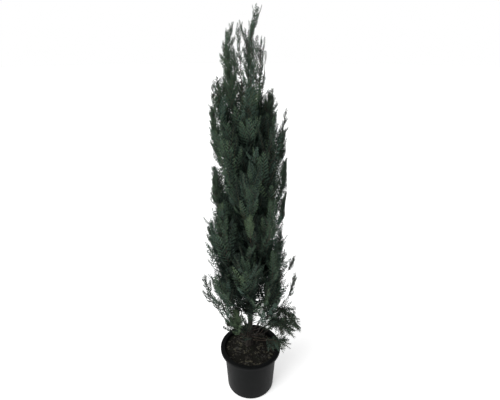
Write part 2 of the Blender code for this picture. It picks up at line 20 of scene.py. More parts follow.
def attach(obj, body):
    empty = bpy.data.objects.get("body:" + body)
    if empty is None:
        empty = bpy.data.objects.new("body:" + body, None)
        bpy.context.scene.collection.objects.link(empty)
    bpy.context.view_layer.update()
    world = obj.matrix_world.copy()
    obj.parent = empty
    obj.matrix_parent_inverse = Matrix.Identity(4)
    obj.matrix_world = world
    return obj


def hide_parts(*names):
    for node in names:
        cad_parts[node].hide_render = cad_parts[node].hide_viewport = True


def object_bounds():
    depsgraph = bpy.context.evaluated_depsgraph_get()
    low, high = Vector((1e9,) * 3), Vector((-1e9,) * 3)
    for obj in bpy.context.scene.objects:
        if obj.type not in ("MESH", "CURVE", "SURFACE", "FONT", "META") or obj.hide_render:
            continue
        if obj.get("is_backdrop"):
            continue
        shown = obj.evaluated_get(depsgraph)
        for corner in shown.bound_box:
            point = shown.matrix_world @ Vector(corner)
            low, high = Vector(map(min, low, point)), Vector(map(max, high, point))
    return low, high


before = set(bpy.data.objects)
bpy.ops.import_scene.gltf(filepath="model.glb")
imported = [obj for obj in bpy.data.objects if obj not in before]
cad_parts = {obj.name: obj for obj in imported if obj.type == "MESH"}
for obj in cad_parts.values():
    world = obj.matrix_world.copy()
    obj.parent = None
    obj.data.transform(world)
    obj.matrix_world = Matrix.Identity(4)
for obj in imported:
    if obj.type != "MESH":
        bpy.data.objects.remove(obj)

log = logging.getLogger("lawson_cypress")

UP = Vector((0.0, 0.0, 1.0))
ASKEW = Vector((0.31, 0.95, 0.12))
GOLDEN_SHARE = 0.618034
WELD = 1e-6
ALL_WOOD = 2.0
FRONT = 270.0
BODY = "root"

Colour = tuple[float, float, float]
Line = tuple[list[Vector], list[float]]
Corner = tuple[float, float, float]
Place = tuple[Vector, Vector, Vector]
Profile = list[tuple[float, float]]
Course = Callable[[float], Vector]
Girth = Callable[[float], float]


# ---------------------------------------------------------------- shader writing


class Socket:
    """One output of a node. Python's operators on it add the Math nodes that they stand for."""

    def __init__(self, graph: "Graph", output: bpy.types.NodeSocket) -> None:
        """Wraps an output of a node in a graph."""
        self.graph = graph
        self.output = output

    def math(self, operation: str, *values: "Socket | float") -> "Socket":
        """Adds a Math node.

        Args:
            operation: The Math node's operation.
            values: Its inputs in order.

        Returns:
            The node's value.
        """
        return self.graph.node("ShaderNodeMath", {"operation": operation}, dict(enumerate(values)))

    def __add__(self, other: "Socket | float") -> "Socket":
        """self + other."""
        return self.math("ADD", self, other)

    def __radd__(self, other: float) -> "Socket":
        """other + self."""
        return self.math("ADD", other, self)

    def __sub__(self, other: "Socket | float") -> "Socket":
        """self - other."""
        return self.math("SUBTRACT", self, other)

    def __rsub__(self, other: float) -> "Socket":
        """other - self."""
        return self.math("SUBTRACT", other, self)

    def __mul__(self, other: "Socket | float") -> "Socket":
        """self * other."""
        return self.math("MULTIPLY", self, other)

    def __rmul__(self, other: float) -> "Socket":
        """other * self."""
        return self.math("MULTIPLY", other, self)


class Graph:
    """The nodes of one material, on its Principled shader."""

    def __init__(self, name: str, roughness: float, specular: float = 0.5) -> None:
        """Makes the material and sets what is the same all over.

        Args:
            name: The material's name.
            roughness: The roughness where nothing else drives it.
            specular: The specular level.
        """
        self.material = bpy.data.materials.new(name)
        self.material.use_nodes = True
        self.tree = self.material.node_tree
        self.shader = self.tree.nodes["Principled BSDF"]
        self.shader.inputs["Roughness"].default_value = roughness
        self.shader.inputs["Specular IOR Level"].default_value = specular

    def node(self, kind: str, settings: dict, inputs: dict, output: int | str = 0) -> Socket:
        """Adds a node.

        Args:
            kind: The node's type.
            settings: The node's own settings, set first. A ramp's stops are (place, colour) pairs.
            inputs: The value or link of each input, by its name or number.
            output: The name or number of the output that is wanted.

        Returns:
            That output.
        """
        made = self.tree.nodes.new(kind)
        for setting, value in settings.items():
            if setting == "stops":
                self._set_stops(made.color_ramp, value)
            else:
                setattr(made, setting, value)
        for key, value in inputs.items():
            if isinstance(value, Socket):
                self.tree.links.new(value.output, made.inputs[key])
            else:
                made.inputs[key].default_value = value
        return Socket(self, made.outputs[output])

    @staticmethod
    def _set_stops(ramp: bpy.types.ColorRamp, stops: list[tuple[float, Colour]]) -> None:
        """Sets a ramp's stops.

        Args:
            ramp: The ramp.
            stops: Its (place, colour) pairs in order.
        """
        while len(ramp.elements) < len(stops):
            ramp.elements.new(1.0)
        for element, (place, colour) in zip(ramp.elements, stops):
            element.position = place
            element.color = (*colour, 1.0)

    def place(self, scale: tuple[float, float, float] = (1.0, 1.0, 1.0)) -> Socket:
        """The place on the piece in Object coordinates, stretched."""
        here = self.node("ShaderNodeTexCoord", {}, {}, "Object")
        return self.node("ShaderNodeMapping", {}, {"Vector": here, "Scale": scale})

    def noise(self, place: Socket, scale: float, detail: float = 3.0, roughness: float = 0.55) -> Socket:
        """Noise from 0 to 1 at a place."""
        inputs = {"Vector": place, "Scale": scale, "Detail": detail, "Roughness": roughness}
        return self.node("ShaderNodeTexNoise", {}, inputs, "Fac")

    def ramp(self, value: Socket, stops: list[tuple[float, Colour]]) -> Socket:
        """The colour that a value stands for on a ramp of (place, colour) stops."""
        return self.node("ShaderNodeValToRGB", {"stops": stops}, {"Fac": value}, "Color")

    def window(self, value: Socket, low: float, high: float) -> Socket:
        """A value taken from a range to 0 to 1, and held there."""
        inputs = {"Value": value, "From Min": low, "From Max": high}
        return self.node("ShaderNodeMapRange", {"clamp": True}, inputs)

    def mix(self, share: Socket | float, first: Socket | Colour, second: Socket | Colour) -> Socket:
        """A colour between two others.

        Args:
            share: How much of the second there is.
            first: The one.
            second: The other.

        Returns:
            The colour.
        """
        both = [(*colour, 1.0) if isinstance(colour, tuple) else colour for colour in (first, second)]
        inputs = {"Factor": share, 6: both[0], 7: both[1]}
        return self.node("ShaderNodeMix", {"data_type": "RGBA"}, inputs, 2)

    def bump(self, height: Socket, distance: float, strength: float = 1.0) -> None:
        """Gives the surface a fine relief."""
        inputs = {"Height": height, "Distance": distance, "Strength": strength}
        self.feed("Normal", self.node("ShaderNodeBump", {}, inputs, "Normal"))

    def feed(self, name: str, value: "Socket | Colour | float") -> None:
        """Links or sets one of the shader's own sockets.

        Args:
            name: The socket's name.
            value: A link, a colour or a number.
        """
        if isinstance(value, Socket):
            self.tree.links.new(value.output, self.shader.inputs[name])
        else:
            self.shader.inputs[name].default_value = (*value, 1.0) if isinstance(value, tuple) else value


# ---------------------------------------------------------------- finishes


@dataclass(frozen=True)
class PotPlastic:
    """Matt black moulded plastic: a fine orange-peel skin, handling scuffs and a little dried compost."""

    colour: Colour = (0.0045, 0.0050, 0.0052)
    worn: Colour = (0.0080, 0.0086, 0.0088)
    dust: Colour = (0.018, 0.017, 0.015)
    roughness: float = 0.46
    specular: float = 0.05
    cloud_scale: float = 16.0
    cloud_range: tuple[float, float] = (0.35, 0.70)
    cloud_share: float = 0.55
    cloud_dulling: float = 0.16
    scuff_scale: float = 46.0
    scuff_run: float = 0.22
    scuff_range: tuple[float, float] = (0.56, 0.70)
    scuff_share: float = 0.35
    scuff_dulling: float = 0.10
    scuff_height: float = 0.6
    speck_scale: float = 230.0
    speck_range: tuple[float, float] = (0.66, 0.76)
    speck_share: float = 0.30
    polish: float = 0.08
    skin_scale: float = 900.0
    skin_depth: float = 0.00025
    skin_strength: float = 0.35

    def material(self) -> bpy.types.Material:
        """Makes the material.

        Returns:
            The material.
        """
        graph = Graph("pot_plastic", self.roughness, self.specular)
        place = graph.place()
        clouds = graph.noise(place, self.cloud_scale, detail=4.0)
        upright = graph.place((1.0, 1.0, self.scuff_run))
        streaks = graph.noise(upright, self.scuff_scale, detail=5.0, roughness=0.62)
        scuffs = graph.window(streaks, *self.scuff_range)
        specks = graph.window(graph.noise(place, self.speck_scale, detail=2.0), *self.speck_range)
        cloudy = graph.window(clouds, *self.cloud_range) * self.cloud_share
        plain = graph.mix(cloudy, self.colour, self.worn)
        scuffed = graph.mix(scuffs * self.scuff_share, plain, self.worn)
        graph.feed("Base Color", graph.mix(specks * self.speck_share, scuffed, self.dust))
        dulling = clouds * self.cloud_dulling + scuffs * self.scuff_dulling
        graph.feed("Roughness", dulling + (self.roughness - self.polish))
        skin = graph.noise(place, self.skin_scale, detail=2.0)
        graph.bump(skin + scuffs * self.scuff_height, self.skin_depth, self.skin_strength)
        return graph.material


@dataclass(frozen=True)
class CompostFinish:
    """Peat compost: dark crumbs with paler fibres, a little greener where moss has started."""

    dark: Colour = (0.0040, 0.0039, 0.0034)
    crumb: Colour = (0.0120, 0.0115, 0.0090)
    fibre: Colour = (0.0320, 0.0290, 0.0215)
    moss: Colour = (0.0120, 0.0145, 0.0085)
    roughness: float = 0.92
    specular: float = 0.10
    crumb_scale: float = 260.0
    crumb_range: tuple[float, float] = (0.34, 0.62)
    moss_scale: float = 22.0
    moss_range: tuple[float, float] = (0.50, 0.66)
    moss_share: float = 0.55
    fibre_scale: float = 208.0
    fibre_run: float = 0.30
    fibre_range: tuple[float, float] = (0.62, 0.72)
    fibre_share: float = 0.7
    fibre_height: float = 0.5
    depth: float = 0.0012
    strength: float = 0.9

    def material(self) -> bpy.types.Material:
        """Makes the material.

        Returns:
            The material.
        """
        graph = Graph("compost", self.roughness, self.specular)
        place = graph.place()
        crumbs = graph.noise(place, self.crumb_scale, detail=5.0, roughness=0.65)
        patches = graph.noise(place, self.moss_scale)
        lying = graph.place((1.0, self.fibre_run, 1.0))
        fibres = graph.noise(lying, self.fibre_scale, roughness=0.6)
        ground = graph.mix(graph.window(crumbs, *self.crumb_range), self.dark, self.crumb)
        green = graph.window(patches, *self.moss_range) * self.moss_share
        mossy = graph.mix(green, ground, self.moss)
        strands = graph.window(fibres, *self.fibre_range) * self.fibre_share
        graph.feed("Base Color", graph.mix(strands, mossy, self.fibre))
        graph.bump(crumbs + fibres * self.fibre_height, self.depth, self.strength)
        return graph.material


@dataclass(frozen=True)
class ChipFinish:
    """One colour of bark chip, with its grain."""

    name: str
    light: Colour
    dark: Colour
    roughness: float = 0.85
    specular: float = 0.3
    grain_scale: float = 420.0
    grain_run: float = 0.35
    grain_range: tuple[float, float] = (0.35, 0.65)
    depth: float = 0.0004
    strength: float = 0.6

    def material(self) -> bpy.types.Material:
        """Makes the material.

        Returns:
            The material.
        """
        graph = Graph(self.name, self.roughness, self.specular)
        grain = graph.noise(graph.place((1.0, self.grain_run, 1.0)), self.grain_scale)
        graph.feed("Base Color", graph.mix(graph.window(grain, *self.grain_range), self.dark, self.light))
        graph.bump(grain, self.depth, self.strength)
        return graph.material


@dataclass(frozen=True)
class BarkFinish:
    """Young cypress bark: thin upright strips of red-brown over grey, darker in the cracks between them."""

    crack: Colour = (0.0060, 0.0050, 0.0045)
    strip: Colour = (0.0230, 0.0180, 0.0150)
    weathered: Colour = (0.0420, 0.0370, 0.0320)
    roughness: float = 0.86
    specular: float = 0.3
    strip_scale: float = 230.0
    strip_run: float = 0.10
    strip_range: tuple[float, float] = (0.40, 0.56)
    patch_scale: float = 24.0
    patch_run: float = 0.4
    patch_range: tuple[float, float] = (0.40, 0.66)
    flake_scale: float = 391.0
    flake_run: float = 0.45
    flake_height: float = 0.35
    depth: float = 0.0009
    strength: float = 0.8

    def material(self) -> bpy.types.Material:
        """Makes the material.

        Returns:
            The material.
        """
        graph = Graph("bark", self.roughness, self.specular)
        upright = graph.place((1.0, 1.0, self.strip_run))
        strips = graph.noise(upright, self.strip_scale, detail=4.0, roughness=0.62)
        patches = graph.noise(graph.place((1.0, 1.0, self.patch_run)), self.patch_scale)
        flakes = graph.noise(graph.place((1.0, 1.0, self.flake_run)), self.flake_scale, detail=2.0)
        worn = graph.mix(graph.window(patches, *self.patch_range), self.strip, self.weathered)
        graph.feed("Base Color", graph.mix(graph.window(strips, *self.strip_range), self.crack, worn))
        graph.bump(strips + flakes * self.flake_height, self.depth, self.strength)
        return graph.material


@dataclass(frozen=True)
class TwigFinish:
    """The thin skin of a twig, mottled along it."""

    name: str
    light: Colour
    dark: Colour
    roughness: float = 0.75
    specular: float = 0.35
    mottle_scale: float = 150.0
    mottle_range: tuple[float, float] = (0.38, 0.62)

    def material(self) -> bpy.types.Material:
        """Makes the material.

        Returns:
            The material.
        """
        graph = Graph(self.name, self.roughness, self.specular)
        mottle = graph.noise(graph.place(), self.mottle_scale, detail=2.0)
        graph.feed("Base Color", graph.mix(graph.window(mottle, *self.mottle_range), self.dark, self.light))
        return graph.material


class Tint(Enum):
    """The plain colours of scale leaves, dealt out by spray, by how young the shoots are and as painted
    shade. Each is one material slot.
    """

    DEEP = (0.0125, 0.0195, 0.0155)
    DARK = (0.0300, 0.0510, 0.0380)
    MID = (0.0610, 0.1060, 0.0740)
    BLUE = (0.0580, 0.1030, 0.0840)
    PALE = (0.0890, 0.1450, 0.1120)
    LIGHT = (0.0940, 0.1480, 0.0840)
    FRESH = (0.1150, 0.1680, 0.0880)
    DRY = (0.0620, 0.0460, 0.0300)

    @property
    def slot(self) -> int:
        """The place of this tint's material on a leaf piece."""
        return list(Tint).index(self)

    def material(self) -> bpy.types.Material:
        """The tint's material, made the first time that it is asked for.

        Returns:
            The material.
        """
        name = f"leaf_{self.name.lower()}"
        found = bpy.data.materials.get(name)
        if found:
            return found
        graph = Graph(name, roughness=0.62, specular=0.12)
        graph.feed("Base Color", self.value)
        return graph.material


class Coat(Enum):
    """How a plume is coloured: its old shoots near the rachis, its grown ones and its new tips."""

    # SHADE paints the shade deep inside the crown; DUSK is a darker coat, dealt more on the crown's right as
    # painted shade.
    SHADE = (Tint.DEEP, Tint.DEEP, Tint.DARK)
    DUSK = (Tint.DEEP, Tint.DARK, Tint.MID)
    GREEN = (Tint.DARK, Tint.MID, Tint.LIGHT)
    GLAUCOUS = (Tint.DARK, Tint.BLUE, Tint.PALE)
    SPRING = (Tint.DARK, Tint.LIGHT, Tint.FRESH)
    WITHERED = (Tint.DRY, Tint.DRY, Tint.DARK)


# ---------------------------------------------------------------- bench tools


class Bench:
    """What the builder's hands do with an object: pick it up, cut it, finish it and hand it over."""

    @staticmethod
    def clear() -> None:
        """Leaves edit mode and lets go of everything."""
        if bpy.context.object and bpy.context.object.mode != "OBJECT":
            bpy.ops.object.mode_set(mode="OBJECT")
        bpy.ops.object.select_all(action="DESELECT")

    @staticmethod
    def take(name: str) -> bpy.types.Object:
        """Names the object that was just added.

        Args:
            name: The name.

        Returns:
            The object.
        """
        made = bpy.context.object
        made.name = name
        made.data.name = name
        return made

    @staticmethod
    def hold(piece: bpy.types.Object) -> None:
        """Makes a piece the only one that operators act on.

        Args:
            piece: The piece.
        """
        Bench.clear()
        piece.select_set(True)
        bpy.context.view_layer.objects.active = piece

    @staticmethod
    def settle(piece: bpy.types.Object) -> None:
        """Puts a piece's place, turn and scale into its mesh."""
        Bench.hold(piece)
        bpy.ops.object.transform_apply(location=True, rotation=True, scale=True)

    @staticmethod
    def modify(piece: bpy.types.Object, kind: str, **settings: object) -> None:
        """Adds a modifier and applies it.

        Args:
            piece: The piece.
            kind: The modifier's type.
            settings: Its settings by name.
        """
        Bench.hold(piece)
        modifier = piece.modifiers.new(kind.lower(), kind)
        for setting, value in settings.items():
            setattr(modifier, setting, value)
        bpy.ops.object.modifier_apply(modifier=modifier.name)

    @staticmethod
    def smooth(piece: bpy.types.Object, degrees: float = 35.0) -> None:
        """Shades a piece smooth, with its sharp edges kept."""
        Bench.hold(piece)
        bpy.ops.object.shade_smooth_by_angle(angle=math.radians(degrees))

    @staticmethod
    def dress(piece: bpy.types.Object, *materials: bpy.types.Material) -> None:
        """Gives a piece its materials, one for each slot.

        Args:
            piece: The piece.
            materials: The materials in the order of the slots.
        """
        piece.data.materials.clear()
        for material in materials:
            piece.data.materials.append(material)

    @staticmethod
    def hand_over(piece: bpy.types.Object, slot: str, *nodes: str) -> None:
        """Puts a finished piece on its body, in the place of its CAD nodes.

        Args:
            piece: The piece.
            slot: The colour slot that it goes by; not used.
            nodes: The CAD nodes that it replaces.
        """
        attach(piece, BODY)
        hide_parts(*nodes)
        log.info("%s: %d faces, for %s", piece.name, len(piece.data.polygons), ", ".join(nodes))


class Lathe:
    """Turns a closed skin from a profile: a circle is drawn out ring by ring."""

    def __init__(self, sides: int) -> None:
        """Sets how many sides the turned piece has."""
        self.sides = sides

    def turn(self, name: str, profile: Profile) -> bpy.types.Object:
        """Turns a shape.

        Args:
            name: The piece's name.
            profile: (radius, height) of each ring in order. The first and last rings are closed over.

        Returns:
            The piece, with its normals pointing outwards.
        """
        Bench.clear()
        radius, height = profile[0]
        bpy.ops.mesh.primitive_circle_add(vertices=self.sides, radius=radius, fill_type="NGON")
        piece = Bench.take(name)
        bpy.ops.object.mode_set(mode="EDIT")
        bpy.ops.mesh.select_all(action="SELECT")
        bpy.ops.transform.translate(value=(0.0, 0.0, height))
        for wide, high in profile[1:]:
            bpy.ops.mesh.extrude_region_move(TRANSFORM_OT_translate={"value": (0.0, 0.0, high - height)})
            grow = wide / radius
            bpy.ops.transform.resize(value=(grow, grow, 1.0), center_override=(0.0, 0.0, high))
            radius, height = wide, high
        bpy.ops.mesh.select_all(action="SELECT")
        bpy.ops.mesh.normals_make_consistent(inside=False)
        bpy.ops.object.mode_set(mode="OBJECT")
        return piece


def arc(radius: float, height: float, size: float, first: float, last: float, steps: int) -> Profile:
    """The (radius, height) points of a rounded corner about its centre, between two angles in degrees."""
    angles = [math.radians(first + (last - first) * step / steps) for step in range(steps + 1)]
    return [(radius + size * math.cos(angle), height + size * math.sin(angle)) for angle in angles]


class Heap:
    """Triangles of many small things, gathered as arrays and made into one mesh at the end."""

    def __init__(self) -> None:
        """Starts empty."""
        self.points: list[np.ndarray] = []
        self.faces: list[np.ndarray] = []
        self.slots: list[np.ndarray] = []
        self.count = 0

    def add(self, points: np.ndarray, faces: np.ndarray, slots: np.ndarray | int) -> None:
        """Adds one thing.

        Args:
            points: Its corners, n by 3.
            faces: Its triangles, m by 3.
            slots: The material slot of each triangle, or one for all.
        """
        self.points.append(points)
        self.faces.append(faces + self.count)
        self.slots.append(np.broadcast_to(slots, (len(faces),)))
        self.count += len(points)

    @property
    def triangles(self) -> int:
        """How many triangles there are so far."""
        return sum(len(faces) for faces in self.faces)

    def build(self, name: str) -> bpy.types.Object:
        """Makes the piece.

        Args:
            name: Its name.

        Returns:
            The piece.
        """
        points = np.concatenate(self.points).astype(np.float32)
        faces = np.concatenate(self.faces).astype(np.int32)
        mesh = bpy.data.meshes.new(name)
        mesh.vertices.add(len(points))
        mesh.vertices.foreach_set("co", points.ravel())
        mesh.loops.add(faces.size)
        mesh.loops.foreach_set("vertex_index", faces.ravel())
        mesh.polygons.add(len(faces))
        mesh.polygons.foreach_set("loop_start", np.arange(0, faces.size, 3, dtype=np.int32))
        mesh.update(calc_edges=True)
        piece = bpy.data.objects.new(name, mesh)
        bpy.context.scene.collection.objects.link(piece)
        return piece

    def set_slots(self, piece: bpy.types.Object) -> None:
        """Deals the material slots out to a built piece's faces."""
        piece.data.polygons.foreach_set("material_index", np.concatenate(self.slots).astype(np.int32))
        piece.data.update()


def tube(points: list[Vector], radii: list[float], sides: int) -> tuple[np.ndarray, np.ndarray, np.ndarray]:
    """A closed thin tube along a line.

    Args:
        points: The line.
        radii: The tube's radius at each point.
        sides: How many sides it has.

    Returns:
        Its corners, its triangles and the share of the way along at which each triangle stands.
    """
    corners = []
    for index, (point, radius) in enumerate(zip(points, radii)):
        way = points[min(index + 1, len(points) - 1)] - points[max(index - 1, 0)]
        across = way.cross(ASKEW).normalized()
        beside = way.cross(across).normalized()
        for side in range(sides):
            angle = math.tau * side / sides
            corners.append(point + (across * math.cos(angle) + beside * math.sin(angle)) * radius)
    faces, shares = [], []
    for ring in range(len(points) - 1):
        for side in range(sides):
            a, b = ring * sides + side, ring * sides + (side + 1) % sides
            faces += [(a, b, b + sides), (a, b + sides, a + sides)]
            shares += [ring / (len(points) - 1)] * 2
    last = (len(points) - 1) * sides
    for side in range(1, sides - 1):
        faces += [(0, side + 1, side), (last, last + side, last + side + 1)]
        shares += [0.0, 1.0]
    return np.array(corners), np.array(faces), np.array(shares)


# ---------------------------------------------------------------- the rule of growth


class Region(Enum):
    """The parts of the crown that a leaf piece and a twig piece are made for."""

    LOW = ("low", "rim")
    TIER1 = ("tier1",)
    TIER2 = ("tier2",)
    TIER3 = ("tier3",)
    TIER4 = ("tier4",)
    TIER5 = ("tier5",)
    SHOULDER = ("shoulder",)
    LEADER = ("leader", "bare")


@dataclass(frozen=True)
class Mass:
    """One mass of foliage: how its bough leaves the trunk, where its stem stands and how its sprays sit.

    Lengths are in metres and angles in degrees. The bough starts on the trunk at the height start and ends at
    height, reach out from there. The stem goes on from it, leaning by lean, with that many sprays of that
    length, which open by opening and turn round the stem by up to spread. A dense mass has side plumes and
    shaded plumes inside it, and a free one isn't held within the crown. Its laterals are the side plumes on
    each spray, its plumes turn upwards by the share rise, and a coat given here holds for all of them.
    """

    name: str
    azimuth: float
    start: float
    reach: float
    height: float
    stem: float = 0.170
    lean: float = 8.0
    sprays: int = 5
    spray: float = 0.205
    spread: float = 110.0
    opening: float = 40.0
    radius: float = 0.0034
    bough: bool = True
    dense: bool = False
    free: bool = False
    coat: Coat | None = None
    laterals: int = 3
    rise: float = 0.70

    @property
    def region(self) -> Region:
        """The part of the crown that the mass belongs to."""
        first = self.name.split("_")[0]
        return next(region for region in Region if first in region.value)


@dataclass(frozen=True)
class Stray(Mass):
    """A mass of finer growth, on a thin twig in place of a bough and with its sprays spread wider."""

    spread: float = 150.0
    radius: float = 0.0022
    bough: bool = False


SIDES = ("right", "back_right", "back", "back_left", "left", "front_left", "front", "front_right")

# The full tiers of the crown: height of the boughs' tips, azimuth of the first bough and how many.
TIERS = (
    (0.375, 215.0, 4),
    (0.525, 172.0, 4),
    (0.680, 218.0, 4),
    (0.835, 175.0, 4),
    (0.985, 220.0, 4),
)

# The masses that stand alone: the low ones, those that stand out of the crown's side, and the leaders.
SINGLES = (
    Mass("low_left", 186.0, 0.262, 0.118, 0.440, stem=0.11, lean=10.0, sprays=5, spray=0.120,
         spread=150.0, radius=0.0042, free=True),
    Mass("low_right", 354.0, 0.250, 0.092, 0.315, stem=0.10, lean=24.0, sprays=6, spray=0.150,
         spread=150.0, opening=62.0, radius=0.0042, free=True, laterals=1),
    Mass("low_front", 262.0, 0.256, 0.056, 0.290, stem=0.09, lean=6.0, sprays=4, spray=0.095,
         opening=30.0, free=True, coat=Coat.SHADE),
    Mass("low_back", 92.0, 0.262, 0.080, 0.320, stem=0.11, lean=18.0, sprays=4, spray=0.130),
    Mass("rim_right", 346.0, 0.240, 0.080, 0.250, stem=0.07, lean=80.0, sprays=3, spray=0.060,
         spread=60.0, radius=0.0022, bough=False, free=True),
    Mass("shoulder_left", 186.0, 1.050, 0.074, 1.150, stem=0.16, lean=8.0, spray=0.180, radius=0.0026,
         bough=False, dense=True),
    Mass("shoulder_right", 350.0, 1.075, 0.056, 1.170, stem=0.15, lean=3.0, spray=0.180, radius=0.0026,
         bough=False, dense=True),
    Mass("shoulder_back", 88.0, 1.080, 0.060, 1.160, stem=0.15, lean=4.0, spray=0.165, radius=0.0026,
         bough=False, dense=True),
    Mass("shoulder_front", 268.0, 1.090, 0.050, 1.160, stem=0.15, lean=4.0, spray=0.165, radius=0.0024,
         bough=False, dense=True),
    Mass("leader_left", 184.0, 1.180, 0.054, 1.290, stem=0.24, lean=2.0, sprays=6, spray=0.125,
         radius=0.0026, bough=False, laterals=2),
    Mass("leader_mid", 205.0, 1.260, 0.024, 1.340, stem=0.19, lean=2.0, sprays=4, spray=0.100,
         radius=0.0022, bough=False, laterals=2),
    Mass("leader_right", 340.0, 1.240, 0.026, 1.320, stem=0.16, lean=1.0, sprays=4, spray=0.110,
         radius=0.0022, bough=False, laterals=2),
    Mass("leader_back", 95.0, 1.260, 0.030, 1.340, stem=0.14, lean=2.0, spray=0.110, radius=0.0022,
         bough=False, laterals=1),
    Mass("bare_right", 6.0, 1.190, 0.038, 1.330, stem=0.15, lean=4.0, sprays=3, spray=0.045,
         radius=0.0020, bough=False, free=True, laterals=0),
    Mass("leader", 0.0, 1.475, 0.0, 1.475, stem=0.125, lean=16.0, sprays=5, spray=0.080, spread=180.0,
         bough=False, free=True, laterals=2),
)


